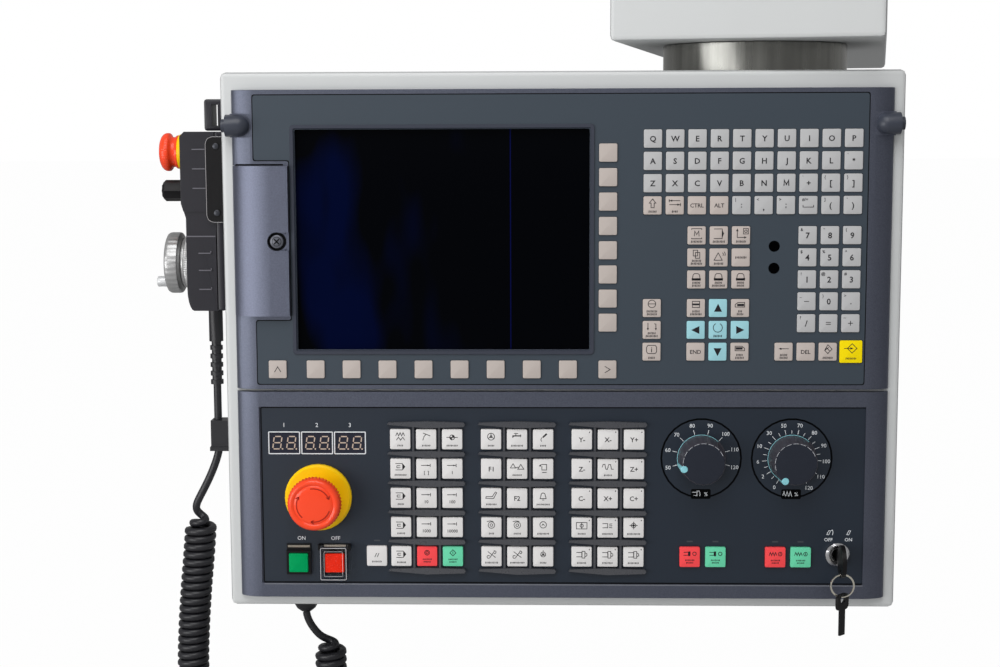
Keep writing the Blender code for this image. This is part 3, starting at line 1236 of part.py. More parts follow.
def emergency_stop():
    """Collar, plunger, mushroom head and contact block. The head twists on the plunger to release."""
    at = (STOP_X, 0, -STOP_Z)
    seat = front(COLLAR_SEAT)
    top = seat + COLLAR_THICKNESS
    tail = front(INSET_DEPTH) - STOP_BARREL_LENGTH
    collar = turned("collar", [
        (STOP_BARREL_BORE, top),
        (COLLAR_RADIUS - COLLAR_CHAMFER, top),
        (COLLAR_RADIUS, top - COLLAR_CHAMFER),
        (COLLAR_RADIUS, seat),
        (STOP_BARREL_RADIUS, seat),
        (STOP_BARREL_RADIUS, tail),
        (STOP_BARREL_BORE, tail),
    ])
    piece("estop_collar", collar, YELLOW, at=at, turn=FACING)

    neck_low = top + STOP_TRAVEL + GAP
    flare_top = neck_low + MUSHROOM_FLARE + MUSHROOM_FLARE
    rim_top = flare_top + MUSHROOM_RIM
    bore_top = neck_low + MUSHROOM_BORE_DEPTH
    dome = arc((0, rim_top), (MUSHROOM_RADIUS, MUSHROOM_DOME), 68, 0, 3)
    head = turned("mushroom", [(0, rim_top + MUSHROOM_DOME)] + dome + [
        (MUSHROOM_RADIUS, flare_top),
        (MUSHROOM_NECK, neck_low + MUSHROOM_FLARE),
        (MUSHROOM_NECK, neck_low),
        (MUSHROOM_BORE, neck_low),
        (MUSHROOM_BORE, bore_top),
        (0, bore_top),
    ], ROUND)
    piece("estop_mushroom", head, RED, at=at, turn=FACING)

    stem = MUSHROOM_BORE - GAP
    shoulder = neck_low - GAP
    plunger = turned("plunger", [
        (0, bore_top - GAP),
        (stem, bore_top - GAP),
        (stem, shoulder),
        (STOP_BARREL_BORE - GAP, shoulder),
        (STOP_BARREL_BORE - GAP, tail + GAP),
        (0, tail + GAP),
    ], 24)
    piece("estop_plunger", plunger, DARK_PLASTIC, at=at, turn=FACING)

    half = CONTACT_SIZE / 2
    near = tail - GAP
    contact = boxes("contact", [((-half, -half, near - CONTACT_DEPTH), (half, half, near))])
    piece("estop_contact_block", contact, DARK_PLASTIC, at=at, turn=FACING)
    cut(contact, tool(rods("contact_bore", [((0, 0, near - CONTACT_BORE_DEPTH), (0, 0, near + OVERRUN))],
                           STOP_BARREL_BORE, 24), at=at, turn=FACING))


def power_buttons():
    """Two square buttons in their bezels. The second bezel's ears carry a clear flip guard."""
    face = front(INSET_DEPTH) + POWER_BEZEL_PROUD
    seat = front(INSET_DEPTH) + GAP
    half, body = POWER_BEZEL_SIZE / 2, POWER_BODY_SIZE / 2
    well = POWER_CAP_SIZE / 2 + GAP
    back = front(INSET_DEPTH) - POWER_BODY_DEPTH
    cap_back = face - POWER_CAP_DEPTH
    ear_top = half + POWER_EAR_RISE
    ear_face = front(INSET_DEPTH) + POWER_EAR_PROUD
    for name, x, colour in (("power_on", POWER_ON_X, GREEN), ("power_off", POWER_OFF_X, RED)):
        at = (x, 0, -POWER_Z)
        bezel = boxes(name, [((-half, -half, seat), (half, half, face))])
        piece(f"{name}_bezel", bezel, DARK_PLASTIC, at=at, turn=FACING)
        join(bezel, tool(boxes(f"{name}_body", [((-body, -body, back), (body, body, face - GAP))]),
                         at=at, turn=FACING))
        strip_face = face - POWER_CAP_PROUD
        strip = boxes(f"{name}_strip", [((-half, half - GAP, seat), (half, ear_top, strip_face))])
        join(bezel, tool(strip, at=at, turn=FACING))
        if name == "power_off":
            ears = []
            inner = GUARD_COVER_WIDTH / 2 + GAP
            for side in (-1, 1):
                ear_low = ear_top - 2 * POWER_EAR_WIDTH
                near, far = sorted((side * (inner - POWER_EAR_WIDTH), side * (inner + POWER_EAR_WIDTH)))
                ears.append(((near, ear_low, seat), (far, ear_top, strip_face)))
                near, far = sorted((side * inner, side * (inner + POWER_EAR_WIDTH)))
                ears.append(((near, ear_low, seat + GAP), (far, ear_top, ear_face)))
            for i, ear in enumerate(ears):
                join(bezel, tool(boxes(f"{name}_ear_{i}", [ear]), at=at, turn=FACING))
        cut(bezel, tool(boxes(f"{name}_well", [((-well, -well, cap_back - POWER_TRAVEL - GAP),
                                                (well, well, face + OVERRUN))]), at=at, turn=FACING))
        cap = POWER_CAP_SIZE / 2
        button = boxes(f"{name}_cap", [((-cap, -cap, cap_back), (cap, cap, face + POWER_CAP_PROUD))])
        piece(f"{name}_button", button, colour, at=at, turn=FACING)
        bevel(button, KEY_FILLET, 1)
    flip_guard(ear_top, face, ear_face)


def flip_guard(ear_top, face, ear_face):
    """The clear cover: an open box on two pins between the ears, which swings up about its top edge."""
    hinge_z = ear_top - POWER_EAR_WIDTH
    hinge_h = (face + ear_face) / 2
    at = (POWER_OFF_X, -hinge_h, -POWER_Z + hinge_z)
    half = GUARD_COVER_WIDTH / 2
    low = face + GUARD_COVER_LIFT - hinge_h
    high = low + GUARD_COVER_DEPTH
    up = POWER_EAR_WIDTH - GAP
    down = up - GUARD_COVER_HEIGHT
    cover = boxes("flip_cover", [((-half, down, low), (half, up, high))])
    piece("power_off_guard", cover, CLEAR, at=at, turn=FACING)
    wall = GUARD_COVER_WALL
    cut(cover, tool(boxes("flip_hollow", [((-half + wall, down + wall, low - OVERRUN),
                                           (half - wall, up - wall, high - wall))]), at=at, turn=FACING))
    pin = half + HINGE_PIN_LENGTH
    stub = half - wall / 2
    bm = bmesh.new()
    rod(bm, (-pin, 0, 0), (-stub, 0, 0), HINGE_PIN_RADIUS, 10)
    rod(bm, (stub, 0, 0), (pin, 0, 0), HINGE_PIN_RADIUS, 10)
    join(cover, tool(from_bmesh("flip_pins", bm), at=at, turn=FACING))
    bezel = bpy.data.objects["power_off_bezel"]
    cut(bezel, tool(rods("flip_pin_holes", [((-pin - GAP, 0, 0), (pin + GAP, 0, 0))],
                         HINGE_PIN_RADIUS + GAP, 10), at=at, turn=FACING))


def fluted(bm, profile, flutes, depth):
    """A turned knob whose flanks are fluted: two sides for each flute, every second one drawn in."""
    rings = []
    count = flutes * 2
    for radius, height, share in profile:
        ring = []
        for i in range(count):
            r = radius - (depth * share if i % 2 else 0)
            angle = 2 * math.pi * i / count
            ring.append(bm.verts.new((r * math.cos(angle), r * math.sin(angle), height)))
        rings.append(ring)
    for low, high in zip(rings[1:], rings[:-1]):
        for i in range(count):
            bm.faces.new((low[i], low[(i + 1) % count], high[(i + 1) % count], high[i]))
    bm.faces.new(rings[0])
    bm.faces.new(list(reversed(rings[-1])))


def override_knobs():
    """The spindle and feed override knobs: a base ring, a fluted skirt and a shaft."""
    seat = front(INSET_DEPTH) + GAP
    base = seat + KNOB_BASE_THICKNESS
    face = front(INSET_DEPTH) + KNOB_HEIGHT
    for name, x in (("spindle_knob", SPINDLE_KNOB_X), ("feed_knob", FEED_KNOB_X)):
        at = (x, 0, -KNOB_Z)
        bm = bmesh.new()
        fluted(bm, [
            (KNOB_FACE_RADIUS - KNOB_EDGE, face, 0),
            (KNOB_FACE_RADIUS, face - KNOB_EDGE, 1),
            (KNOB_SKIRT_RADIUS, base, 1),
            (KNOB_BASE_RADIUS, base, 0),
            (KNOB_BASE_RADIUS, seat, 0),
        ], KNOB_FLUTES, KNOB_FLUTE_DEPTH)
        knob = piece(name, from_bmesh(name, bm), DARK_PLASTIC, at=at, turn=FACING)
        shaft = rods(f"{name}_shaft", [((0, 0, seat - KNOB_SHAFT_LENGTH), (0, 0, base))],
                     KNOB_SHAFT_RADIUS, 12)
        join(knob, tool(shaft, at=at, turn=FACING))


def key_lock():
    """The lock barrel, the key in it, the split ring through the key's bow and the spare key on it."""
    at = (LOCK_X, 0, -LOCK_Z)
    seat = front(INSET_DEPTH) + GAP
    top = seat + LOCK_FLANGE_HEIGHT
    plug = top - LOCK_PLUG_RECESS
    barrel = turned("lock", [
        (0, plug),
        (LOCK_PLUG_RADIUS, plug),
        (LOCK_PLUG_RADIUS + LOCK_PLUG_RECESS, top),
        (LOCK_FLANGE_RADIUS - LOCK_CHAMFER, top),
        (LOCK_FLANGE_RADIUS, top - LOCK_CHAMFER),
        (LOCK_FLANGE_RADIUS, seat),
        (LOCK_BARREL_RADIUS, seat),
        (LOCK_BARREL_RADIUS, seat - LOCK_BARREL_LENGTH),
        (0, seat - LOCK_BARREL_LENGTH),
    ], SMALL_ROUND + 4)
    piece("lock_barrel", barrel, CHROME, at=at, turn=FACING)
    way = KEYWAY_LENGTH / 2 + GAP
    cut(barrel, tool(rods("keyway", [((0, 0, plug - KEYWAY_DEPTH), (0, 0, plug + OVERRUN))],
                          way, 20), at=at, turn=FACING))

    blade, thick = KEY_BLADE_WIDTH / 2, KEY_BLADE_THICKNESS / 2
    key = boxes("key", [((-thick, -blade, plug - KEY_BLADE_LENGTH), (thick, blade, plug + KEY_BOW_STANDOFF))])
    piece("switch_key", key, DARK_PLASTIC, at=at, turn=FACING)
    bow_h = plug + KEY_BOW_STANDOFF
    half = KEY_BOW_THICKNESS / 2
    join(key, tool(rods("key_bow", [((-half, 0, bow_h), (half, 0, bow_h))], KEY_BOW_RADIUS, 28),
                   at=at, turn=FACING))
    hole_h = top + KEY_HOLE_OUT
    cut(key, tool(rods("key_hole", [((-half - OVERRUN, -KEY_HOLE_DOWN, hole_h),
                                     (half + OVERRUN, -KEY_HOLE_DOWN, hole_h))], KEY_HOLE_RADIUS, 16),
                  at=at, turn=FACING))

    hang_z = -LOCK_Z - KEY_HOLE_DOWN
    ring_at = (LOCK_X, -hole_h, hang_z)
    drop = RING_RADIUS + RING_SAG
    bm = bmesh.new()
    ring_tube(bm, RING_RADIUS, RING_WIRE_RADIUS, 24, 6)
    bmesh.ops.translate(bm, verts=bm.verts, vec=(0, 0, -drop))
    piece("key_ring", from_bmesh("ring", bm), STEEL, at=ring_at)

    low = drop + RING_RADIUS
    spare_at = (LOCK_X, -hole_h, hang_z - low)
    up = SPARE_HOLE_DOWN - RING_SAG
    wide, thin = SPARE_HEAD_WIDTH / 2, SPARE_THICKNESS / 2
    top_z = up
    head = rounded_rectangle((-wide, top_z - SPARE_HEAD_HEIGHT), (wide, top_z), wide / 2)
    spare = outline_mesh("spare", head, SPARE_THICKNESS)
    spare.data.transform(Matrix.Translation((0, 0, -thin)))
    turn = (math.pi / 2, 0, SPARE_YAW)
    piece("spare_key", spare, DARK_PLASTIC, at=spare_at, turn=turn)
    shank = SPARE_BLADE_WIDTH / 2
    blade_low = top_z - SPARE_HEAD_HEIGHT - SPARE_BLADE_LENGTH
    slim = thin * SPARE_BLADE_SHARE
    blade_high = top_z - SPARE_HEAD_HEIGHT / 2
    join(spare, tool(boxes("spare_blade", [((-shank, blade_low, -slim), (shank, blade_high, slim))]),
                     at=spare_at, turn=turn))
    hole_y = top_z - SPARE_HOLE_DOWN
    hole = [((0, hole_y, -OVERRUN), (0, hole_y, OVERRUN))]
    cut(spare, tool(rods("spare_hole", hole, SPARE_HOLE_RADIUS, 16), at=spare_at, turn=turn))


def ring_tube(bm, radius, wire, around, across):
    """A torus in the local XZ plane."""
    rings = []
    for i in range(around):
        a = 2 * math.pi * i / around
        ring = []
        for j in range(across):
            b = 2 * math.pi * j / across
            r = radius + wire * math.cos(b)
            ring.append(bm.verts.new((r * math.sin(a), wire * math.sin(b), r * math.cos(a))))
        rings.append(ring)
    for i in range(around):
        for j in range(across):
            here, there = rings[i], rings[(i + 1) % around]
            k = (j + 1) % across
            bm.faces.new((here[j], here[k], there[k], there[j]))
    bmesh.ops.recalc_face_normals(bm, faces=bm.faces)


def pendant_outline():
    """The pendant's side view, x from the console's wall (negative) and z, back edge at the seam."""
    seam = PENDANT_REAR - PENDANT_SEAM + HOLDER_SHEET + 2 * GAP
    upper = PENDANT_WALL - PENDANT_UPPER_FACE
    lower = PENDANT_WALL - PENDANT_LOWER_FACE
    toe_middle = (lower + PENDANT_TOE, -PENDANT_BOTTOM + PENDANT_TOE_RISE)
    toe = arc(toe_middle, (PENDANT_TOE, PENDANT_TOE_RISE), 180, 270, 5)
    return seam, [
        (seam, -PENDANT_TOP),
        (upper + PENDANT_FILLET, -PENDANT_TOP),
        (upper, -PENDANT_TOP - PENDANT_FILLET),
        (upper, -PENDANT_STEP_TOP),
        (lower, -PENDANT_STEP_LOW),
    ] + toe + [(seam, -PENDANT_BOTTOM)]


def pendant_housing():
    """The pendant's two shells, with side ribs, a waist and a hanging loop, and the holder on the wall."""
    seam, points = pendant_outline()
    near = PENDANT_Y - PENDANT_WIDTH / 2
    far = PENDANT_Y + PENDANT_WIDTH / 2
    shell = outline_mesh("shell", points, PENDANT_WIDTH)
    for side in (0, PENDANT_WIDTH):
        round_sides(shell, PENDANT_FILLET, 2, side, seam)
    piece("pendant_shell", shell, PENDANT_PLASTIC, at=(0, far, 0), turn=FACING)
    reach = PENDANT_UPPER_FACE + OVERRUN
    waist = [((PENDANT_WALL - reach, y0, -WAIST_LOW), (PENDANT_WALL, y1, -WAIST_TOP))
             for y0, y1 in ((near - OVERRUN, near + WAIST_DEPTH), (far - WAIST_DEPTH, far + OVERRUN))]
    cut(shell, tool(boxes("waist", waist)))
    rib_right = seam - RIB_FROM_SEAM
    ribs = []
    for drop in RIB_DROPS:
        low, high = -drop - RIB_THICKNESS / 2, -drop + RIB_THICKNESS / 2
        inside = drop < HOLDER_BOTTOM
        right = min(rib_right, PENDANT_WALL - HOLDER_CHEEK - 2 * GAP) if inside else rib_right
        ribs.append(((right - RIB_WIDTH, near - RIB_PROUD, low), (right, near + OVERRUN, high)))
        ribs.append(((right - RIB_WIDTH, far - OVERRUN, low), (right, far + RIB_PROUD, high)))
    join(shell, tool(boxes("ribs", ribs)))
    for z, radius, depth in (
        (PENDANT_STOP_Z, PENDANT_COLLAR_BORE, PENDANT_SHAFT_LENGTH),
        (PENDANT_KNOB_Z, PENDANT_SHAFT_RADIUS + GAP, PENDANT_SHAFT_LENGTH),
        (WHEEL_Z, PENDANT_SHAFT_RADIUS + GAP, PENDANT_SHAFT_LENGTH),
    ):
        bm = bmesh.new()
        rod(bm, (PENDANT_WALL - reach, PENDANT_Y, -z),
            (PENDANT_WALL - PENDANT_LOWER_FACE + depth + GAP, PENDANT_Y, -z), radius, SMALL_ROUND)
        cut(shell, tool(from_bmesh("pendant_bore", bm)))
    bm = bmesh.new()
    rod(bm, (CORD_X, PENDANT_Y, -PENDANT_BOTTOM - OVERRUN),
        (CORD_X, PENDANT_Y, -PENDANT_BOTTOM + GLAND_THREAD_LENGTH + GAP), GLAND_THREAD + GAP, 12)
    cut(shell, tool(from_bmesh("pendant_gland_bore", bm)))

    top = -PENDANT_TOP + HANGER_RISE
    middle_low, middle_high = PENDANT_Y - HANGER_WIDTH / 2, PENDANT_Y + HANGER_WIDTH / 2
    back = boxes("back", [((seam + GAP, near, -PENDANT_BOTTOM), (PENDANT_REAR, far, -PENDANT_TOP))])
    piece("pendant_back", back, PENDANT_PLASTIC)
    bevel(back, PENDANT_BACK_FILLET, 2)
    loop = boxes("hanging_loop", [((seam + GAP - HANGER_REACH, middle_low, -PENDANT_TOP + 2 * GAP),
                                   (PENDANT_REAR - GAP, middle_high, top))])
    bevel(loop, HANGER_BAR / 2, 2)
    join(back, tool(loop))
    neck = boxes("loop_neck", [((seam + 2 * GAP, middle_low + GAP, -PENDANT_TOP - HANGER_BAR),
                                (PENDANT_REAR - 2 * GAP, middle_high - GAP, -PENDANT_TOP + HANGER_BAR))])
    join(back, tool(neck))
    slot_right = seam - HANGER_BAR / 2
    cut(back, tool(boxes("loop_slot", [
        ((slot_right - HANGER_SLOT, middle_low - OVERRUN, top - HANGER_BAR - HANGER_SLOT_HEIGHT),
         (slot_right, middle_high + OVERRUN, top - HANGER_BAR)),
    ])))
    pendant_holder(near, far)


def pendant_holder(near, far):
    """A folded plate on the console's wall, with a cheek along each side of the pendant."""
    wall = PENDANT_WALL - GAP
    sheet = HOLDER_SHEET
    outside_near, outside_far = near - GAP - sheet, far + GAP + sheet
    low, high = (wall - sheet, outside_near, -HOLDER_BOTTOM), (wall, outside_far, -HOLDER_TOP)
    holder = piece("pendant_holder", boxes("holder", [(low, high)]), DARK_PLASTIC)
    left = PENDANT_WALL - HOLDER_CHEEK
    corner = (HOLDER_CORNER, HOLDER_CORNER)
    points = (
        [(wall - sheet / 2, -HOLDER_BOTTOM), (wall - sheet / 2, -HOLDER_TOP)]
        + arc((left + HOLDER_CORNER, -HOLDER_TOP - HOLDER_CORNER), corner, 90, 180, 4)
        + arc((left + HOLDER_CORNER, -HOLDER_BOTTOM + HOLDER_CORNER), corner, 180, 270, 4)
    )
    for name, y in (("near_cheek", outside_near + sheet), ("far_cheek", outside_far)):
        join(holder, tool(outline_mesh(name, points, sheet), at=(0, y, 0), turn=FACING))
    x = PENDANT_WALL - HOLDER_SCREW_FROM_WALL
    bm = bmesh.new()
    for z in (-HOLDER_TOP - HOLDER_SCREW_FROM_END, -HOLDER_BOTTOM + HOLDER_SCREW_FROM_END):
        rod(bm, (x, outside_near + sheet / 2, z), (x, outside_near - HOLDER_SCREW_HEIGHT, z),
            HOLDER_SCREW_RADIUS, 10)
    join(holder, tool(from_bmesh("holder_screws", bm)))


def pendant_controls():
    """The pendant's stop button, axis knob, hand wheel and its crank grip. Local +Z points to -X."""
    face = PENDANT_UPPER_FACE
    at = (PENDANT_WALL, PENDANT_Y, -PENDANT_STOP_Z)
    top = face + PENDANT_COLLAR_HEIGHT
    collar = turned("pendant_collar", [
        (PENDANT_COLLAR_BORE, top),
        (PENDANT_COLLAR_RADIUS, top),
        (PENDANT_COLLAR_RADIUS, face + GAP),
        (PENDANT_COLLAR_BORE, face + GAP),
    ], 28)
    piece("pendant_estop_collar", collar, YELLOW, at=at, turn=LEFTWARD)
    neck = top + PENDANT_STOP_TRAVEL + GAP
    crown = neck + PENDANT_STOP_HEIGHT - PENDANT_STOP_TRAVEL
    rim = crown - PENDANT_STOP_CROWN - PENDANT_STOP_RIM
    stem = PENDANT_STOP_STEM
    tail = face - PENDANT_SHAFT_LENGTH + PENDANT_STOP_TRAVEL + GAP
    stop = turned("pendant_stop", [
        (0, crown),
        (PENDANT_STOP_RADIUS - 2 * PENDANT_STOP_CROWN, crown),
        (PENDANT_STOP_RADIUS, crown - PENDANT_STOP_CROWN),
        (PENDANT_STOP_RADIUS, rim),
        (PENDANT_STOP_NECK, rim - PENDANT_STOP_CROWN),
        (PENDANT_STOP_NECK, neck),
        (stem, neck),
        (stem, tail),
        (0, tail),
    ], 28)
    piece("pendant_estop", stop, RED, at=at, turn=LEFTWARD)

    at = (PENDANT_WALL, PENDANT_Y, -PENDANT_KNOB_Z)
    low, high = face + GAP, face + PENDANT_KNOB_HEIGHT
    bm = bmesh.new()
    fluted(bm, [
        (PENDANT_KNOB_RADIUS - PENDANT_KNOB_TAPER, high, 1),
        (PENDANT_KNOB_RADIUS, high - PENDANT_KNOB_TAPER, 1),
        (PENDANT_KNOB_RADIUS, low, 1),
    ], PENDANT_KNOB_FLUTES, PENDANT_KNOB_FLUTE_DEPTH)
    knob = piece("pendant_axis_knob", from_bmesh("axis_knob", bm), RUBBER, at=at, turn=LEFTWARD)
    join(knob, tool(rods("axis_shaft", [((0, 0, face - PENDANT_SHAFT_LENGTH), (0, 0, low + GAP))],
                         PENDANT_SHAFT_RADIUS, 12), at=at, turn=LEFTWARD))
    hand_wheel()


def hand_wheel():
    at = (PENDANT_WALL, PENDANT_Y, -WHEEL_Z)
    low = PENDANT_LOWER_FACE + GAP
    flange_top = low + WHEEL_FLANGE_HEIGHT
    bore = PENDANT_SHAFT_RADIUS + GAP
    flange = turned("dial_flange", [
        (bore, flange_top),
        (WHEEL_FLANGE_RADIUS, flange_top),
        (WHEEL_FLANGE_RADIUS, low),
        (bore, low),
    ])
    piece("handwheel_flange", flange, ALUMINIUM, at=at, turn=LEFTWARD)
    rim_low = flange_top + GAP
    rim_top = rim_low + WHEEL_HEIGHT
    dish = rim_top - WHEEL_DISH
    bm = bmesh.new()
    fluted(bm, [
        (WHEEL_RADIUS - WHEEL_EDGE, rim_top, 0),
        (WHEEL_RADIUS, rim_top - WHEEL_EDGE, 1),
        (WHEEL_RADIUS, rim_low + WHEEL_EDGE * 2, 1),
        (WHEEL_FLANGE_RADIUS, rim_low, 0),
    ], WHEEL_FLUTES, WHEEL_FLUTE_DEPTH)
    wheel = piece("handwheel", from_bmesh("wheel", bm), ALUMINIUM, at=at, turn=LEFTWARD)
    cut(wheel, tool(rods("wheel_dish", [((0, 0, dish), (0, 0, rim_top + OVERRUN))], WHEEL_DISH_RADIUS),
                    at=at, turn=LEFTWARD))
    join(wheel, tool(rods("wheel_shaft", [((0, 0, low - PENDANT_SHAFT_LENGTH), (0, 0, rim_low + WHEEL_EDGE))],
                          PENDANT_SHAFT_RADIUS, 12), at=at, turn=LEFTWARD))
    crank_at = (PENDANT_WALL, PENDANT_Y, -WHEEL_Z - CRANK_OFFSET)
    pin_low = dish - CRANK_PIN_LENGTH
    cut(wheel, tool(rods("crank_bore", [((0, 0, pin_low - GAP), (0, 0, rim_top + OVERRUN))],
                         CRANK_PIN_RADIUS + GAP, 12), at=crank_at, turn=LEFTWARD))
    grip_low = dish + GAP
    grip_top = grip_low + CRANK_LENGTH + WHEEL_DISH
    grip = turned("grip", [
        (0, grip_top),
        (CRANK_RADIUS * CRANK_CROWN_SHARE, grip_top),
        (CRANK_RADIUS, grip_top - CRANK_RADIUS * (1 - CRANK_CROWN_SHARE)),
        (CRANK_RADIUS, grip_low),
        (CRANK_PIN_RADIUS, grip_low),
        (CRANK_PIN_RADIUS, pin_low),
        (0, pin_low),
    ], SMALL_ROUND)
    piece("crank_grip", grip, ALUMINIUM, at=crank_at, turn=LEFTWARD)


def cord_fittings():
    """The pendant's gland and strain relief, the clip on the wall, and the console's gland."""
    low = GAP
    end = low + GLAND_LENGTH
    profile = [(0, end + RELIEF_LENGTH)]
    step = RELIEF_LENGTH / (2 * RELIEF_RIBS)
    for i in range(RELIEF_RIBS):
        high = end + RELIEF_LENGTH - 2 * i * step
        profile += [(RELIEF_RADIUS, high), (RELIEF_RADIUS, high - step)]
        profile += [(RELIEF_NECK, high - step), (RELIEF_NECK, high - 2 * step)]
    profile += [(GLAND_RADIUS, end), (GLAND_RADIUS, low), (GLAND_THREAD, low)]
    profile += [(GLAND_THREAD, low - GLAND_THREAD_LENGTH), (0, low - GLAND_THREAD_LENGTH)]
    gland = turned("gland", profile, 12)
    piece("pendant_gland", gland, RUBBER, at=(CORD_X, PENDANT_Y, -PENDANT_BOTTOM), turn=DOWNWARD)

    half = CORD_DIAMETER / 2 + RUNNING_GAP
    left = CORD_X - half - CLIP_WALL
    wall = PENDANT_WALL - GAP
    y0, y1 = PENDANT_Y - CLIP_DEPTH / 2, PENDANT_Y + CLIP_DEPTH / 2
    clip = boxes("clip", [((left, y0, -CLIP_TOP - CLIP_HEIGHT + CLIP_LIP / 2), (wall, y1, -CLIP_TOP))])
    piece("cord_clip", clip, RUBBER)
    join(clip, tool(boxes("clip_lip", [((left - CLIP_LIP_OUT, y0 - CLIP_LIP_OUT, -CLIP_TOP - CLIP_HEIGHT),
                                        (wall, y1 + CLIP_LIP_OUT, -CLIP_TOP - CLIP_HEIGHT + CLIP_LIP))])))
    cut(clip, tool(rods("clip_bore", [((CORD_X, PENDANT_Y, -CLIP_TOP - CLIP_HEIGHT - OVERRUN),
                                       (CORD_X, PENDANT_Y, -CLIP_TOP + OVERRUN))], half, 16)))

    thread = OUTLET_THREAD_RADIUS
    nut = GAP + OUTLET_NUT_HEIGHT
    dome = arc((0, nut), (OUTLET_DOME_RADIUS, OUTLET_DOME_HEIGHT), 66, 0, 3)
    outlet = turned("outlet", [(0, dome[0][1])] + dome + [
        (OUTLET_NUT_RADIUS, nut),
        (OUTLET_NUT_RADIUS, GAP),
        (thread, GAP),
        (thread, -OUTLET_THREAD_LENGTH),
        (0, -OUTLET_THREAD_LENGTH),
    ], SMALL_ROUND)
    piece("console_gland", outlet, RUBBER, at=(OUTLET_X, PENDANT_Y, -BOX_BOTTOM), turn=DOWNWARD)


def smooth_points(route, steps):
    """Points of a smooth curve through the route's own points, x and z."""
    ends = [tuple(2 * a - b for a, b in zip(route[0], route[1]))]
    ends += list(route)
    ends += [tuple(2 * a - b for a, b in zip(route[-1], route[-2]))]
    found = []
    for i in range(1, len(ends) - 2):
        before, here, there, after = (Vector(ends[i + k]) for k in (-1, 0, 1, 2))
        for j in range(steps):
            t = j / steps
            found.append(
                (2 * here + (there - before) * t + (2 * before - 5 * here + 4 * there - after) * t ** 2
                 + (3 * here - before - 3 * there + after) * t ** 3) / 2
            )
    found.append(Vector(route[-1]))
    return found


def tube(name, route, diameter, steps, fineness):
    shape = bpy.data.curves.new(name, "CURVE")
    shape.dimensions = "3D"
    shape.bevel_depth = diameter / 2
    shape.bevel_resolution = fineness
    shape.use_fill_caps = True
    line = shape.splines.new("POLY")
    points = smooth_points(route, steps)
    line.points.add(len(points) - 1)
    for spot, (x, z) in zip(line.points, points):
        spot.co = (x, PENDANT_Y, z, 1)
    made = bpy.data.objects.new(name, shape)
    shape.materials.append(RUBBER)
    PARTS.objects.link(made)
    made.parent = CONSOLE
    return made


def cord():
    """The cord's two plain stretches, and the fat tube that its curly stretch fills."""
    tube("cord_lead", LEAD_ROUTE, CORD_DIAMETER, 1, 2)
    tube("cord_coil", COIL_ROUTE, COIL_DIAMETER, 2, 3)
    tube("cord_tail", TAIL_ROUTE, CORD_DIAMETER, 1, 2)


arm()
console_box()
upper_panel()
screen()
upper_keys()
port_flap()
port_block()
cover_pegs()
lower_panel()
digit_display()
machine_keys()
key_guards()
emergency_stop()
power_buttons()
override_knobs()
key_lock()
pendant_housing()
pendant_controls()
cord_fittings()
cord()
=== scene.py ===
"""Looks of a lathe's operator console: finishes, keys with their signs, dials, knobs, pendant and cord.

Places on the console are in its own frame, in millimetres: x from the centreline, y from the panels'
front plane (+ into the box) and z from the upper panel's top edge. con() turns them into the frame's metres.
"""

import math

import bmesh
import bpy
from mathutils import Matrix, Vector


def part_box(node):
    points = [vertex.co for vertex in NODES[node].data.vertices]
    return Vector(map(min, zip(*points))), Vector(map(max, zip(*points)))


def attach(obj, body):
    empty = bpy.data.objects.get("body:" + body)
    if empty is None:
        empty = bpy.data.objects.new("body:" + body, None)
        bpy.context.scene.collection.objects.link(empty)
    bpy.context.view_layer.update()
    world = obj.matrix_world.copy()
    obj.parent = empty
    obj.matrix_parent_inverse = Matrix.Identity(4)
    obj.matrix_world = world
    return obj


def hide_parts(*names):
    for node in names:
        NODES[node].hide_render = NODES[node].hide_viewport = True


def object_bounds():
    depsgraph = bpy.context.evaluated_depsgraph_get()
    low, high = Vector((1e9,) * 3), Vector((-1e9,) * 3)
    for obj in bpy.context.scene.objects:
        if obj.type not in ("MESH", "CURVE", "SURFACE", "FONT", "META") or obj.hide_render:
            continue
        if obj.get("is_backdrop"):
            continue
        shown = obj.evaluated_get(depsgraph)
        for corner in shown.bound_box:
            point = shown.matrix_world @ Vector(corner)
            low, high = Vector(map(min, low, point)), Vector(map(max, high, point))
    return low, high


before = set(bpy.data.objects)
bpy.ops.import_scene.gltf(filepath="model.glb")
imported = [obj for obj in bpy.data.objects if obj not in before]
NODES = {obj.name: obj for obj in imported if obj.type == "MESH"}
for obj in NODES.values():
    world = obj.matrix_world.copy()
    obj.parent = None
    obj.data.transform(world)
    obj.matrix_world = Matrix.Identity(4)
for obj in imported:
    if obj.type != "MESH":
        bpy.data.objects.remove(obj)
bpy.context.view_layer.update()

MM = 0.001
PANEL_LOW, PANEL_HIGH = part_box("upper_panel")
DATUM = Vector(((PANEL_LOW.x + PANEL_HIGH.x) / 2, PANEL_LOW.y, PANEL_HIGH.z))

# Camera: place in metres, pitch, yaw and roll in degrees
CAMERA_AT = (-0.260037, -1.844170, -0.074867)
CAMERA_TURN = (-6.8325, -1.6538, -0.2103)
CAMERA_LENS = 60.83
SENSOR_WIDTH = 36.0

# Light: the world's strength on surfaces and to the camera, and each lamp's place, aim, size and power
WORLD_LIGHT = 0.35
WORLD_BACKDROP = 1.0
LAMPS = (
    ("over_front", (-0.50, -1.70, 1.12), (-0.25, -0.60, -0.20), (1.3, 1.3), 18.0),
    ("left_key", (-1.80, -1.85, -0.22), (-0.35, -0.60, -0.22), (1.7, 0.9), 19.0),
)
FLOOR_SIZE = 60.0
FLOOR_SHARE = 0.985
FLOOR_DROP = 0.012

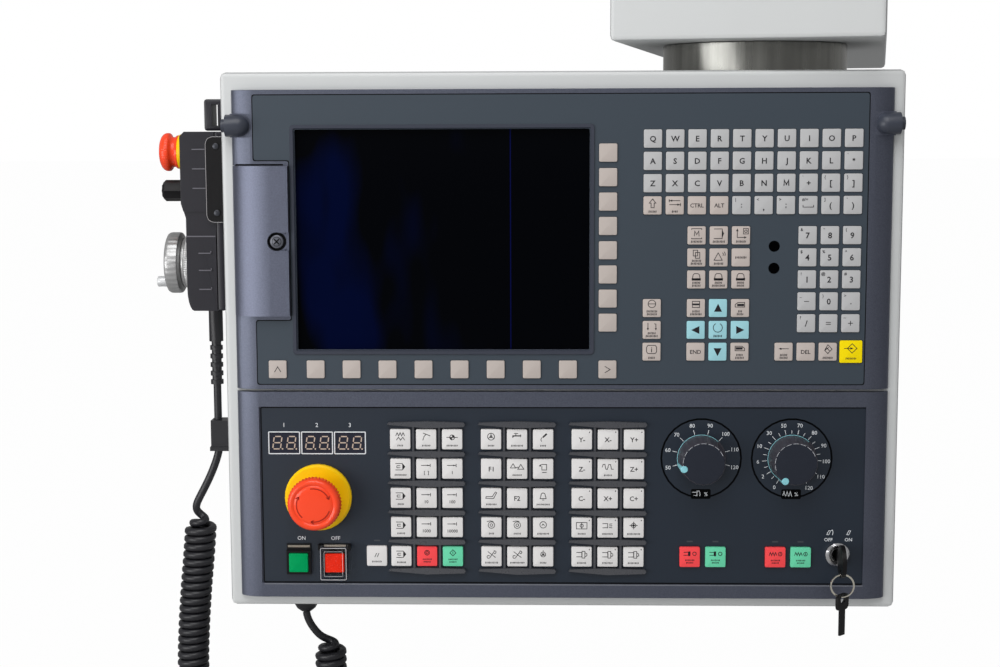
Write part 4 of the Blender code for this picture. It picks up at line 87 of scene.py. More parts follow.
# Panels, the rear cover and the box's left wall
FOIL_THICKNESS = 0.16
GROOVE = 0.75
RAIL_START = 223.5
RAIL_WIDTH = 18.0
RAIL_DROP = 8.0
FLAP_BENDS = ((DATUM.x - 0.2120, 17.0), (DATUM.x - 0.2250, -28.0))
FLAP_SCREW_AT = (-207.9, -110.1)
COVER_HALF, COVER_LOW, COVER_HIGH, COVER_BACK = 242.0, -379.0, 5.0, 168.3
COVER_SCREWS = [(x, z) for x in (-232, 0, 232) for z in (-369, -5)]
WALL_X = -250.0

# Screen and its bezel
SCREEN_LEFT = -194.5
SCREEN_RIGHT = 20.9
SCREEN_TOP = -28.8
SCREEN_LOW = -190.6
# A painted reflection: a thin brighter streak at one place across the screen glass
SCREEN_GLINT_X = -37.0
SCREEN_GLINT_WIDTH = 0.6
NAVY_ENDS = (-150.0, -50.0)

# Keys of the upper panel
KEY = 13.2
KEY_CORNER = 1.0
KEY_PROUD = 1.3
KEY_FOOT = -4.4
KEY_PITCH = 16.1
KEYS_LEFT = 66.5
LETTERS_TOP = -36.2
NUMBERS_TOP = -106.4
CURSOR_TOP = -159.6
INPUT_SIZE = 16.5
INPUT_AT = (212.2, -191.8)
SOFTKEY_X = 34.2
SOFTKEY_TOP = -46.2
SOFTKEY_PITCH = 17.73
SOFTKEYS = 8
LOW_SOFTKEY_Z = -205.0
LOW_SOFTKEY_LEFT = -181.4
LOW_SOFTKEY_PITCH = 26.65
RECALL_X = -209.6
LAMPS_AT = ((155.2, -114.4), (155.2, -130.5))
LAMP_RADIUS = 4.1

# Machine keys
BLOCKS_X = (-100.0, -32.5, 34.8)
MACHINE_KEY = 15.1
MACHINE_COLUMN = 19.3
MACHINE_ROW = 22.2
MACHINE_TOP = -257.4
MACHINE_FACE = 1.1
MACHINE_FOOT = -4.9
INSET_FACE = -1.5
INSET_PRINT = INSET_FACE + FOIL_THICKNESS
COLOURED_X = (96.0, 115.1, 159.5, 178.3)
RESET_X = -137.7

# Cord: the route that the model's own solids follow, x and z in metres from the datum
PENDANT_Y = 64.0
CORD_DIAMETER = 6.1
COIL_RADIUS = 9.65
COIL_PITCH = 6.3
BEND_PITCH = 7.35
BEND_TOP = -0.475
TURN_POINTS = 16
JOINT_REACH = 20
JOINT_ROUNDS = 30
LEAD_ROUTE = (
    (-0.2677, -0.2256), (-0.2677, -0.2380), (-0.2677, -0.2530), (-0.2677, -0.2670), (-0.2680, -0.2795),
    (-0.2726, -0.2935), (-0.2789, -0.3070), (-0.2850, -0.3178), (-0.2886, -0.3242), (-0.2893, -0.3297),
)
COIL_ROUTE = (
    (-0.2828, -0.3308), (-0.2853, -0.3600), (-0.2884, -0.3910), (-0.2910, -0.4240), (-0.2921, -0.4550),
    (-0.2902, -0.4870), (-0.2770, -0.5190), (-0.2370, -0.5400), (-0.1985, -0.5200), (-0.1843, -0.4890),
    (-0.1822, -0.4600), (-0.1822, -0.4314),
)
TAIL_ROUTE = (
    (-0.2010, -0.4082), (-0.2002, -0.4126), (-0.1977, -0.4185), (-0.1938, -0.4238), (-0.1908, -0.4266),
    (-0.1899, -0.4304),
)


def con(x, y, z):
    """A place in the console's frame, in millimetres, as the frame's metres."""
    return DATUM + Vector((x, y, z)) * MM


def srgb(*levels):
    """A colour written in levels of 255, as linear values."""
    return tuple(c / 255 / 12.92 if c <= 10 else ((c / 255 + 0.055) / 1.055) ** 2.4 for c in levels)


# Nodes
def fill(tree, node, inputs):
    """Gives a node's inputs their values, or links them to sockets or to other nodes' first outputs."""
    for key, value in inputs.items():
        if isinstance(value, bpy.types.Node):
            value = value.outputs[0]
        if isinstance(value, bpy.types.NodeSocket):
            tree.links.new(value, node.inputs[key])
        else:
            node.inputs[key].default_value = value
    return node


def add(tree, kind, inputs=()):
    """A new node with its inputs."""
    return fill(tree, tree.nodes.new(kind), dict(inputs))


def noise(tree, place, scale, detail):
    """Soft patches of many sizes."""
    return add(tree, "ShaderNodeTexNoise", {"Vector": place, "Scale": scale, "Detail": detail})


def between(tree, value, low=0.0, high=1.0, first=0.0, last=1.0):
    """A value's way from low to high, as a way from first to last."""
    ends = {"From Min": low, "From Max": high, "To Min": first, "To Max": last}
    return add(tree, "ShaderNodeMapRange", {"Value": value, **ends})


def calculate(tree, operation, *values):
    """A math node."""
    step = tree.nodes.new("ShaderNodeMath")
    step.operation = operation
    return fill(tree, step, dict(enumerate(values)))


def blend(tree, share, first, last):
    """The colour between two others at a share."""
    mixed = tree.nodes.new("ShaderNodeMix")
    mixed.data_type = "RGBA"
    return fill(tree, mixed, {0: share, 6: first, 7: last}).outputs[2]


def crown(tree, place, bends):
    """Leans the normals as on a broad curve along x, which bends more or less left of each place."""
    across = add(tree, "ShaderNodeSeparateXYZ", {"Vector": place})
    heights = []
    for start, strength in bends:
        beyond = calculate(tree, "MINIMUM", calculate(tree, "SUBTRACT", across, start), 0.0)
        heights.append(calculate(tree, "MULTIPLY", calculate(tree, "POWER", beyond, 2.0), -strength / 2))
    height = calculate(tree, "ADD", *heights)
    return add(tree, "ShaderNodeBump", {"Strength": 1.0, "Distance": 1.0, "Height": height})


# Materials
def surface(name, colour, roughness, metallic=0.0, mottle=0.05, mottle_scale=260.0, bump=0.0,
            bump_scale=3500.0, swing=0.05, stretch=(1, 1, 1), shine=0.5, curve=None, **sockets):
    """A procedural finish: colour and gloss that vary a little, a fine relief and a broad crown along x."""
    made = bpy.data.materials.new(name)
    made.use_nodes = True
    tree = made.node_tree
    place = add(tree, "ShaderNodeTexCoord").outputs["Object"]
    scaled = add(tree, "ShaderNodeMapping", {"Scale": stretch, "Vector": place})
    broad = noise(tree, scaled, mottle_scale, 5)
    darker, lighter = ((*(min(1, c * (1 + share)) for c in colour), 1) for share in (-mottle, mottle))
    inputs = {socket.replace("_", " "): value for socket, value in sockets.items()}
    inputs.update({"Metallic": metallic, "Specular IOR Level": shine})
    inputs["Base Color"] = blend(tree, broad, darker, lighter)
    inputs["Roughness"] = between(tree, broad, first=max(0.02, roughness - swing), last=roughness + swing)
    if bump:
        relief = {"Strength": 1.0, "Distance": bump, "Height": noise(tree, scaled, bump_scale, 3)}
        if curve:
            relief["Normal"] = crown(tree, place, curve)
        inputs["Normal"] = add(tree, "ShaderNodeBump", relief)
    fill(tree, tree.nodes["Principled BSDF"], inputs)
    made.diffuse_color = (*colour, 1)
    return made


def brushed(name, colour, roughness, stretch, streak=0.16):
    """Metal with long fine streaks along one axis."""
    return surface(name, colour, roughness, 1.0, streak, 90.0, 0.00002, 420.0, 0.09, stretch)


def key_finish(name, colour, roughness=0.45, mottle=0.02, shine=0.3):
    """A key cap's plastic, with a very fine relief."""
    return surface(name, colour, roughness, mottle=mottle, bump=0.00001, shine=shine)


def panel_finish(name, colour, **more):
    """The panels' lacquered plastic, which glints as if it had metal in it."""
    return surface(name, colour, 0.44, 0.85, 0.30, 1000.0, 0.00005, 2400.0, **more)


def foil_finish(name, colour, roughness, mottle, mottle_scale, shine):
    """A printed foil, with a grain too fine to see singly."""
    return surface(name, colour, roughness, 0.0, mottle, mottle_scale, 0.000012, 5200.0, shine=shine)


def screen_glass():
    """Near-black glass over a dark display: navy patches and a thin brighter streak, which is a painted
    reflection.
    """
    made = surface("screen_glass", srgb(4, 4, 14), 0.10, 0.0, 0.3, 14.0, swing=0.02, shine=0.04)
    tree = made.node_tree
    place = add(tree, "ShaderNodeTexCoord").outputs["Object"]
    stretched = add(tree, "ShaderNodeMapping", {"Scale": (22.0, 1.0, 7.0), "Vector": place})
    across = add(tree, "ShaderNodeSeparateXYZ", {"Vector": place})
    left, right = (DATUM.x + x * MM for x in NAVY_ENDS)
    patches = between(tree, noise(tree, stretched, 1.0, 2), 0.50, 0.64)
    leftward = calculate(tree, "MULTIPLY", patches, between(tree, across, right, left))
    # The painted reflection: the colour grows lighter near one place across the glass
    away = calculate(tree, "ABSOLUTE", calculate(tree, "SUBTRACT", across, DATUM.x + SCREEN_GLINT_X * MM))
    navy = blend(tree, leftward, (*srgb(3, 4, 7), 1), (*srgb(2, 8, 40), 1))
    lit = blend(tree, between(tree, away, SCREEN_GLINT_WIDTH * MM, 0.0), navy, (*srgb(9, 15, 72), 1))
    fill(tree, tree.nodes["Principled BSDF"], {"Base Color": lit})
    return made


# Metals and paint
PAINT = surface("white_paint", srgb(204, 206, 206), 0.40, mottle=0.012, mottle_scale=30.0, bump=0.00003,
                bump_scale=900.0)
STEEL = brushed("brushed_steel", (0.40, 0.39, 0.37), 0.30, (1, 1, 14))
DISC_STEEL = brushed("disc_steel", (0.22, 0.22, 0.205), 0.26, (1, 1, 0.04), 0.75)
CHROME = surface("chrome", (0.62, 0.62, 0.64), 0.14, 1.0, 0.03, swing=0.03)
NICKEL = surface("nickel", (0.78, 0.74, 0.64), 0.22, 1.0, 0.05)
SILVER = surface("turned_aluminium", (0.46, 0.46, 0.46), 0.40, 0.75, 0.10, 400.0, 0.000008, 2600.0, 0.06)
FLANGE_SILVER = surface("bright_aluminium", (0.53, 0.53, 0.53), 0.36, 0.75, 0.08, 400.0, swing=0.06)
CRANK = surface("crank_alloy", (0.70, 0.71, 0.72), 0.40, 0.4, 0.05)
SCREW_HEAD = surface("screw_head", srgb(92, 94, 103), 0.35, 0.3, 0.15, 900.0)
SCREW_STEEL = surface("dark_screw", srgb(58, 60, 66), 0.32, 0.5, 0.1)
DULL_METAL = surface("dull_metal", srgb(150, 142, 130), 0.45, 0.6, 0.2, 700.0)

# Panels, their foils and the screen
FRAME_PLASTIC = panel_finish("frame_plastic", srgb(95, 99, 113))
FLAP_PLASTIC = panel_finish("flap_plastic", srgb(102, 106, 122), curve=FLAP_BENDS)
FOIL = foil_finish("foil", srgb(55, 65, 75), 0.50, 0.05, 5200.0, 0.4)
LOWER_FOIL = foil_finish("lower_foil", srgb(20, 32, 46), 0.46, 0.08, 900.0, 0.5)
# Black for real grooves, seams, slots and sockets, and for painted shade in the flap screw's recess, the flap
# gap and round the lower inset
GROOVE_AND_SHADE_BLACK = surface("groove_and_painted_shade", srgb(10, 11, 14), 0.6, shine=0.1)
# Painted highlight: the light strip along the lower inset's bottom edge
INSET_HIGHLIGHT = surface("frame_edge_highlight", srgb(112, 115, 123), 0.4, mottle=0.12, mottle_scale=300.0)
BEZEL_PLASTIC = surface("bezel_plastic", srgb(56, 60, 72), 0.24, 0.0, 0.06, 900.0, swing=0.04, shine=0.6)
GLASS = screen_glass()
BLACK_GLASS = surface("black_glass", srgb(2, 2, 3), 0.12, mottle=0.1, shine=0.02)
WINDOW = surface("digit_window", srgb(42, 44, 55), 0.18, mottle=0.10, shine=0.15)
SEGMENT = surface("segments", srgb(196, 178, 162), 0.45, shine=0.1)

# Keys and print
LIGHT_KEY = key_finish("light_keys", srgb(187, 187, 188))
BEIGE_KEY = key_finish("beige_keys", srgb(194, 183, 177))
CYAN_KEY = key_finish("cyan_keys", srgb(158, 210, 219))
SOFT_KEY = key_finish("softkey_caps", srgb(188, 178, 172))
MACHINE_CAP = key_finish("machine_caps", srgb(226, 224, 223))
YELLOW_KEY = key_finish("input_cap", srgb(255, 226, 0), 0.42, 0.03, 0.15)
RED_KEY = key_finish("red_caps", srgb(255, 78, 82), 0.42, 0.03, 0.2)
GREEN_KEY = key_finish("green_caps", srgb(108, 216, 172), 0.42, 0.03, 0.2)
GUARD = key_finish("guard_plastic", srgb(66, 67, 72), 0.28, 0.05, 0.7)
PEG = key_finish("peg_rubber", srgb(57, 61, 72), 0.36, 0.06, 0.4)
LAMP_GREY = surface("key_lamp", srgb(62, 66, 72), 0.35, mottle=0.1)
SIGN_DARK = surface("dark_print", srgb(40, 38, 42), 0.6, mottle=0.02, shine=0.1)
SIGN_WHITE = surface("white_print", srgb(222, 226, 230), 0.6, mottle=0.02, shine=0.1)

# Stop and power buttons, knobs and dials
RED = surface("stop_red", srgb(255, 74, 36), 0.22, mottle=0.03, bump=0.000008, bump_scale=1500.0, shine=0.4)
ENGRAVED = surface("engraved_red", srgb(170, 34, 16), 0.45, shine=0.2)
YELLOW = surface("stop_yellow", srgb(255, 204, 0), 0.36, mottle=0.03, bump=0.000012, shine=0.25)
POWER_GREEN = surface("power_green", srgb(0, 157, 90), 0.34, shine=0.06)
POWER_RED = surface("power_red", srgb(206, 38, 18), 0.34, shine=0.06)
CLEAR = surface("clear_plastic", (0.98, 0.98, 0.98), 0.02, mottle=0.0, swing=0.01, shine=0.15,
                Transmission_Weight=1.0, IOR=1.06)
# Painted highlights: light strips along the clear guard's edges
GUARD_EDGE_HIGHLIGHT = surface("clear_edge_highlight", srgb(206, 206, 210), 0.2, mottle=0.1, mottle_scale=900.0)
SMOKE = surface("knob_skirt", srgb(58, 57, 64), 0.24, mottle=0.12, mottle_scale=120.0, shine=0.4)
KNOB_DARK = surface("knob_rubber", srgb(37, 41, 51), 0.42, 0.0, 0.08, 260.0, 0.00002, 1600.0, shine=0.2)
KNOB_SIDE = surface("knob_side", srgb(62, 60, 68), 0.34, mottle=0.08, mottle_scale=420.0, shine=0.4)
# Painted highlights: light dashes along the knobs' grip edge, where the flutes catch the light
KNOB_HIGHLIGHT = surface("knob_painted_highlight", srgb(188, 190, 196), 0.3, mottle=0.15, mottle_scale=900.0)
POINTER_CYAN = surface("pointer", srgb(138, 204, 214), 0.35, mottle=0.04, shine=0.3)
DIAL_BLACK = surface("dial_black", srgb(3, 4, 6), 0.5, shine=0.05)

# Dark plastics, rubber and the rest
DARK = surface("dark_plastic", srgb(14, 13, 15), 0.38, 0.0, 0.08, 260.0, 0.000015, 2600.0, shine=0.22)
RUBBER = surface("black_rubber", srgb(26, 26, 31), 0.40, 0.0, 0.10, 260.0, 0.00002, 1800.0)
PENDANT = surface("pendant_plastic", srgb(27, 26, 34), 0.38, 0.0, 0.10, 1500.0, 0.00005, 1500.0, 0.07,
                  shine=0.4)
# Painted highlights: light strips on the pendant's rib edges and on the holder's rim
RIB_HIGHLIGHT = surface("rib_highlight_grey", srgb(98, 96, 104), 0.4, mottle=0.1)
HOLDER_HIGHLIGHT = surface("holder_rim_highlight", srgb(150, 148, 150), 0.4, mottle=0.1)
BOARD = surface("circuit_board", srgb(18, 92, 60), 0.5, mottle=0.15)
FLOOR = surface("pale_floor", srgb(190, 190, 190), 0.85, mottle=0.01, mottle_scale=3.0)


# Shapes
TIP = 0.001
CAP_STEPS = 3
SHARP_ANGLE = 38
SOFT_ANGLE = 33
WELD = 0.000002


def rounded(width, height, corner, steps=4):
    """A rounded rectangle about the origin, anticlockwise."""
    found = []
    for quarter, (side, up) in enumerate(((1, -1), (1, 1), (-1, 1), (-1, -1))):
        middle = (side * (width / 2 - corner), up * (height / 2 - corner))
        for i in range(steps + 1):
            angle = math.radians(-90 + 90 * (quarter + i / steps))
            found.append((middle[0] + corner * math.cos(angle), middle[1] + corner * math.sin(angle)))
    return found


def circle(radius, count, x=0, y=0):
    turns = (2 * math.pi * i / count for i in range(count))
    return [(x + radius * math.cos(a), y + radius * math.sin(a)) for a in turns]


def soften(points, radius, steps=3):
    """Rounds the inner corners of an open run of points."""
    made = [points[0]]
    for before, here, after in zip(points, points[1:], points[2:]):
        back, corner, on = Vector(before), Vector(here), Vector(after)
        reach = min(radius, (back - corner).length * 0.45, (on - corner).length * 0.45)
        start = corner + (back - corner).normalized() * reach
        end = corner + (on - corner).normalized() * reach
        for i in range(steps + 1):
            t = i / steps
            made.append(tuple(start.lerp(corner, t).lerp(corner.lerp(end, t), t)))
    made.append(points[-1])
    return made


def walls(bm, made, joined):
    """The faces between rings of points and the rings that they are joined to."""
    for upper, lower in zip(made, joined):
        count = len(upper)
        for i in range(count):
            j = (i + 1) % count
            bm.faces.new((lower[i], lower[j], upper[j], upper[i]))


def loft(bm, rings):
    """Joins rings of as many points each, first ring on top, and closes the ends."""
    made = [[bm.verts.new(point) for point in ring] for ring in rings]
    walls(bm, made, made[1:])
    bm.faces.new(made[0])
    bm.faces.new(list(reversed(made[-1])))


def band(bm, rings):
    """A closed ring of rounded outlines: the last one meets the first."""
    made = [[bm.verts.new(point) for point in ring] for ring in rings]
    walls(bm, made, made[1:] + made[:1])


def turned(bm, profile, count=48, x=0, y=0):
    """A turned solid: its profile runs from the top down the outer side, radius and height."""
    rings = []
    for radius, height in profile:
        rings.append([(px, py, height) for px, py in circle(max(radius, TIP), count, x, y)])
    loft(bm, rings)


def key_cap(bm, x, y, size, corner, low, high, edge=0.35):
    """A key's cap: a rounded square with a soft top edge."""
    rings = []
    for i in range(CAP_STEPS + 1):
        angle = math.pi / 2 * i / CAP_STEPS
        inset = edge * (1 - math.sin(angle))
        side = size - 2 * inset
        height = high - edge * (1 - math.cos(angle))
        rings.append([(x + px, y + py, height) for px, py in rounded(side, side, max(corner - inset, 0.2))])
    rings.append([(x + px, y + py, low) for px, py in rounded(size, size, corner)])
    loft(bm, rings)


def plate(bm, outline, low, high):
    loft(bm, [[(x, y, high) for x, y in outline], [(x, y, low) for x, y in outline]])


def box(bm, low, high):
    outline = [(low[0], low[1]), (high[0], low[1]), (high[0], high[1]), (low[0], high[1])]
    plate(bm, outline, low[2], high[2])


def ribbon(bm, points, width, low, high, closed=False):
    """A flat stroke along a run of points, as a thin plate."""
    run = [Vector(p) for p in points]
    count = len(run)
    sides = []
    for i, here in enumerate(run):
        before = run[i - 1] if i or closed else here
        after = run[(i + 1) % count] if i < count - 1 or closed else here
        first = (here - before).normalized() if (here - before).length else (after - here).normalized()
        last = (after - here).normalized() if (after - here).length else first
        along = (first + last).normalized() if (first + last).length > 0.01 else first
        across = Vector((-along.y, along.x))
        grow = 1 / max(0.35, abs(across.dot(Vector((-first.y, first.x)))))
        sides.append((here + across * width / 2 * grow, here - across * width / 2 * grow))
    for (a, b), (c, d) in zip(sides, sides[1:] + (sides[:1] if closed else [])):
        plate(bm, (a, b, d, c), low, high)


def ray(angle):
    """The direction at an angle."""
    return Vector((math.cos(angle), math.sin(angle)))


def object_from(name, bm, material, at, turn):
    """Makes an object of a mesh in millimetres, smooth but for its sharp edges."""
    mesh = bpy.data.meshes.new(name)
    bmesh.ops.recalc_face_normals(bm, faces=bm.faces)
    bm.to_mesh(mesh)
    bm.free()
    mesh.transform(Matrix.Scale(MM, 4))
    for polygon in mesh.polygons:
        polygon.use_smooth = True
    mesh.set_sharp_from_angle(angle=math.radians(SHARP_ANGLE))
    made = bpy.data.objects.new(name, mesh)
    mesh.materials.append(material)
    bpy.context.scene.collection.objects.link(made)
    made.matrix_world = Matrix.Translation(at) @ turn
    bpy.context.view_layer.update()
    return made


def settle(made, body, slot, *nodes):
    """The last step of each piece: its body and the nodes that it stands for, which are hidden; the slot is
    not used.
    """
    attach(made, body)
    if nodes:
        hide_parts(*nodes)


FRONT = Matrix.Rotation(math.pi / 2, 4, "X")
LEFT = Matrix(((0, 0, -1, 0), (-1, 0, 0, 0), (0, 1, 0, 0), (0, 0, 0, 1)))


def front(name, bm, material, slot, *nodes, body="console"):
    """A piece drawn as seen from the front, whose heights run out of the front plane."""
    settle(object_from(name, bm, material, con(0, 0, 0), FRONT), body, slot, *nodes)


def off_wall(name, bm, material, z, slot, *nodes, body="console"):
    """A piece of the pendant, whose heights run out from the console's left wall."""
    settle(object_from(name, bm, material, con(WALL_X, PENDANT_Y, z), LEFT), body, slot, *nodes)


# The model's own nodes
def soft_shading():
    """Nodes that weld a solid's facets and shade its round stretches smooth."""
    tree = bpy.data.node_groups.new("soft_shading", "GeometryNodeTree")
    for way in ("INPUT", "OUTPUT"):
        tree.interface.new_socket("Geometry", in_out=way, socket_type="NodeSocketGeometry")
    plain = add(tree, "GeometryNodeRemoveAttribute", {"Name": "custom_normal"})
    weld = add(tree, "GeometryNodeMergeByDistance", {"Distance": WELD})
    faces = add(tree, "GeometryNodeSetShadeSmooth")
    gentle = tree.nodes.new("FunctionNodeCompare")
    gentle.operation = "LESS_THAN"
    fill(tree, gentle, {0: add(tree, "GeometryNodeInputMeshEdgeAngle"), 1: math.radians(SOFT_ANGLE)})
    edges = add(tree, "GeometryNodeSetShadeSmooth", {"Shade Smooth": gentle})
    edges.domain = "EDGE"
    steps = (add(tree, "NodeGroupInput"), plain, weld, faces, edges, add(tree, "NodeGroupOutput"))
    for before, after in zip(steps, steps[1:]):
        fill(tree, after, {0: before})
    return tree


def dress_nodes():
    """The finish of each node that the scene shows as it was modelled."""
    shading = soft_shading()
    for material, names in (
            (PAINT, "arm_housing console_housing rear_cover"),
            (STEEL, "swivel_bearing swivel_nut"),
            (FRAME_PLASTIC, "upper_panel lower_panel"),
            (FLAP_PLASTIC, "port_flap"),
            (DARK, "display_unit port_block estop_contact_block estop_plunger pendant_holder power_on_bezel"),
            (DARK, "power_off_bezel switch_key spare_key pendant_axis_knob"),
            (GLASS, "screen_glass"),
            (WINDOW, "digit_display"),
            (GUARD, "guard_left guard_middle guard_right"),
            (PENDANT, "pendant_shell pendant_back"),
            (CLEAR, "power_off_guard"),
            (BOARD, "key_circuit_board"),
            (RUBBER, "cord_clip pendant_gland console_gland"),
            (PEG, "left_cover_peg right_cover_peg"),
            (YELLOW, "estop_collar"),
            (CHROME, "lock_barrel"),
            (NICKEL, "key_ring"),
            (DISC_STEEL, "swivel_disc")):
        for name in names.split():
            node = NODES[name]
            node.data.materials.clear()
            node.data.materials.append(material)
            node.modifiers.new("soft_shading", "NODES").node_group = shading
            node.modifiers.new("even_normals", "WEIGHTED_NORMAL").keep_sharp = True


# Cord
def smooth_points(route, steps):
    """Points of a smooth curve through the route's own points."""
    run = [Vector(p) for p in route]
    run = [run[0] * 2 - run[1]] + run + [run[-1] * 2 - run[-2]]
    found = []
    for i in range(1, len(run) - 2):
        before, here, there, after = run[i - 1:i + 3]
        for j in range(steps):
            t = j / steps
            bend = 2 * before - 5 * here + 4 * there - after
            twist = 3 * here - before - 3 * there + after
            found.append((2 * here + (there - before) * t + bend * t ** 2 + twist * t ** 3) / 2)
    found.append(run[-2])
    return found


def measured(points):
    """The run's length up to each of its points."""
    found = [0.0]
    for a, b in zip(points, points[1:]):
        found.append(found[-1] + (b - a).length)
    return found


def along(points, marks, at):
    """The place and direction at a length along a run of points."""
    i = 0
    while i < len(marks) - 2 and marks[i + 1] < at:
        i += 1
    share = (at - marks[i]) / (marks[i + 1] - marks[i])
    return points[i].lerp(points[i + 1], share), (points[i + 1] - points[i]).normalized()


def curl(stretch=1.0):
    """The curly stretch: a helix round the coil's axis, which opens a little in the bend at its foot."""
    axis = smooth_points(COIL_ROUTE, 12)
    marks = measured(axis)
    depth = PENDANT_Y * MM
    found, travelled, turn = [], 0.0, 0.0
    start_side = (Vector(LEAD_ROUTE[-1]) - axis[0]).length
    end_side = (Vector(TAIL_ROUTE[-1]) - axis[-1]).length
    while travelled < marks[-1]:
        middle, ahead = along(axis, marks, travelled)
        side = Vector((ahead.y, -ahead.x))
        ease_in, ease_out = min(1, turn / 0.6), min(1, (marks[-1] - travelled) / (0.6 * COIL_PITCH * MM))
        radius = COIL_RADIUS * MM
        radius = min(start_side + (radius - start_side) * ease_in, end_side + (radius - end_side) * ease_out)
        angle = 2 * math.pi * turn
        reach = side * radius * math.cos(angle)
        found.append(Vector((middle.x + reach.x, depth + radius * math.sin(angle), middle.y + reach.y)))
        pitch = (BEND_PITCH if middle.y < BEND_TOP else COIL_PITCH) * MM * stretch
        travelled += pitch / TURN_POINTS
        turn += 1 / TURN_POINTS
    return found, turn


def ease(points, at, reach, rounds):
    """Evens out a run of points round one of them."""
    for _ in range(rounds):
        for i in range(max(1, at - reach), min(len(points) - 1, at + reach)):
            share = 0.5 * (1 - abs(i - at) / (reach + 1))
            points[i] = points[i].lerp((points[i - 1] + points[i + 1]) / 2, share)


def cord():
    """The whole cord as one curve: the lead, the curl and the tail up into the console's gland."""
    depth = PENDANT_Y * MM
    lead = [Vector((p.x, depth, p.y)) for p in smooth_points(LEAD_ROUTE, 4)]
    tail = [Vector((p.x, depth, p.y)) for p in reversed(smooth_points(TAIL_ROUTE, 4))]
    count = curl()[1]
    turns = curl(count / (math.floor(count) + 0.5))[0]
    run = lead + turns[2:] + tail
    ease(run, len(lead), JOINT_REACH, JOINT_ROUNDS)
    ease(run, len(lead) + len(turns) - 2, JOINT_REACH, JOINT_ROUNDS)
    shape = bpy.data.curves.new("cord", "CURVE")
    shape.dimensions = "3D"
    shape.bevel_depth = CORD_DIAMETER / 2 * MM
    shape.bevel_resolution = 3
    shape.use_fill_caps = True
    line = shape.splines.new("POLY")
    line.points.add(len(run) - 1)
    for spot, place in zip(line.points, run):
        spot.co = (*(DATUM + place), 1)
    line.use_smooth = True
    made = bpy.data.objects.new("cord", shape)
    shape.materials.append(RUBBER)
    bpy.context.scene.collection.objects.link(made)
    settle(made, "console", "rubber", "cord_lead", "cord_coil", "cord_tail")


# Stage
def seen_directly(tree):
    """1 for what the camera sees, also through a clear part, and 0 for the rest."""
    path = add(tree, "ShaderNodeLightPath")
    return calculate(tree, "MAXIMUM", path.outputs["Is Camera Ray"], path.outputs["Is Transmission Ray"])


def pale_backdrop(tree):
    """The floor shows nearly as the backdrop does, with part of the object's shadow."""
    share = calculate(tree, "MULTIPLY", seen_directly(tree), FLOOR_SHARE)
    shine = add(tree, "ShaderNodeEmission")
    mixed = add(tree, "ShaderNodeMixShader", {0: share, 1: tree.nodes["Principled BSDF"], 2: shine})
    fill(tree, tree.nodes["Material Output"], {"Surface": mixed})


def stage():
    """The pale floor, the world, the soft lamps and the camera."""
    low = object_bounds()[0]
    bpy.ops.mesh.primitive_plane_add(size=FLOOR_SIZE, location=(0, 0, low[2] - FLOOR_DROP))
    floor = bpy.context.object
    floor.name = "floor"
    pale_backdrop(FLOOR.node_tree)
    floor.data.materials.append(FLOOR)
    floor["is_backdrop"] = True
    world = bpy.data.worlds.new("studio")
    bpy.context.scene.world = world
    world.use_nodes = True
    tree = world.node_tree
    level = between(tree, seen_directly(tree), first=WORLD_LIGHT, last=WORLD_BACKDROP)
    fill(tree, tree.nodes["Background"], {"Color": (1, 1, 1, 1), "Strength": level})
    for name, at, aim, size, power in LAMPS:
        lamp = bpy.data.lights.new(name, "AREA")
        lamp.shape = "RECTANGLE"
        lamp.size, lamp.size_y = size
        lamp.energy = power
        made = bpy.data.objects.new(name, lamp)
        made.location = at
        made.rotation_euler = (Vector(aim) - Vector(at)).to_track_quat("-Z", "Y").to_euler()
        bpy.context.scene.collection.objects.link(made)
    camera()


def camera():
    pitch, yaw, roll = (math.radians(a) for a in CAMERA_TURN)
    ahead = Vector((math.sin(yaw) * math.cos(pitch), math.cos(yaw) * math.cos(pitch), math.sin(pitch)))
    level = Vector((math.cos(yaw), -math.sin(yaw), 0))
    above = level.cross(ahead)
    right = level * math.cos(roll) + above * math.sin(roll)
    up = above * math.cos(roll) - level * math.sin(roll)
    lens = bpy.data.cameras.new("camera")
    lens.lens = CAMERA_LENS
    lens.sensor_width = SENSOR_WIDTH
    made = bpy.data.objects.new("camera", lens)
    made.matrix_world = Matrix.Translation(CAMERA_AT) @ Matrix((right, up, -ahead)).transposed().to_4x4()
    bpy.context.scene.collection.objects.link(made)
    bpy.context.scene.camera = made


# Print: signs are thin closed plates, gathered in one mesh for each height and colour
SIGN_DEPTH = 0.04
SIGN_SINK = 0.03
LETTER_SHARE = 0.73
BOLD_SHARE = 0.015
LINE = 0.5
ARC_STEP = 12
BAR_TALL = 1.7
BAR_PITCH = 1.0
BAR_SHARES = (1.0, 0.82, 0.94)


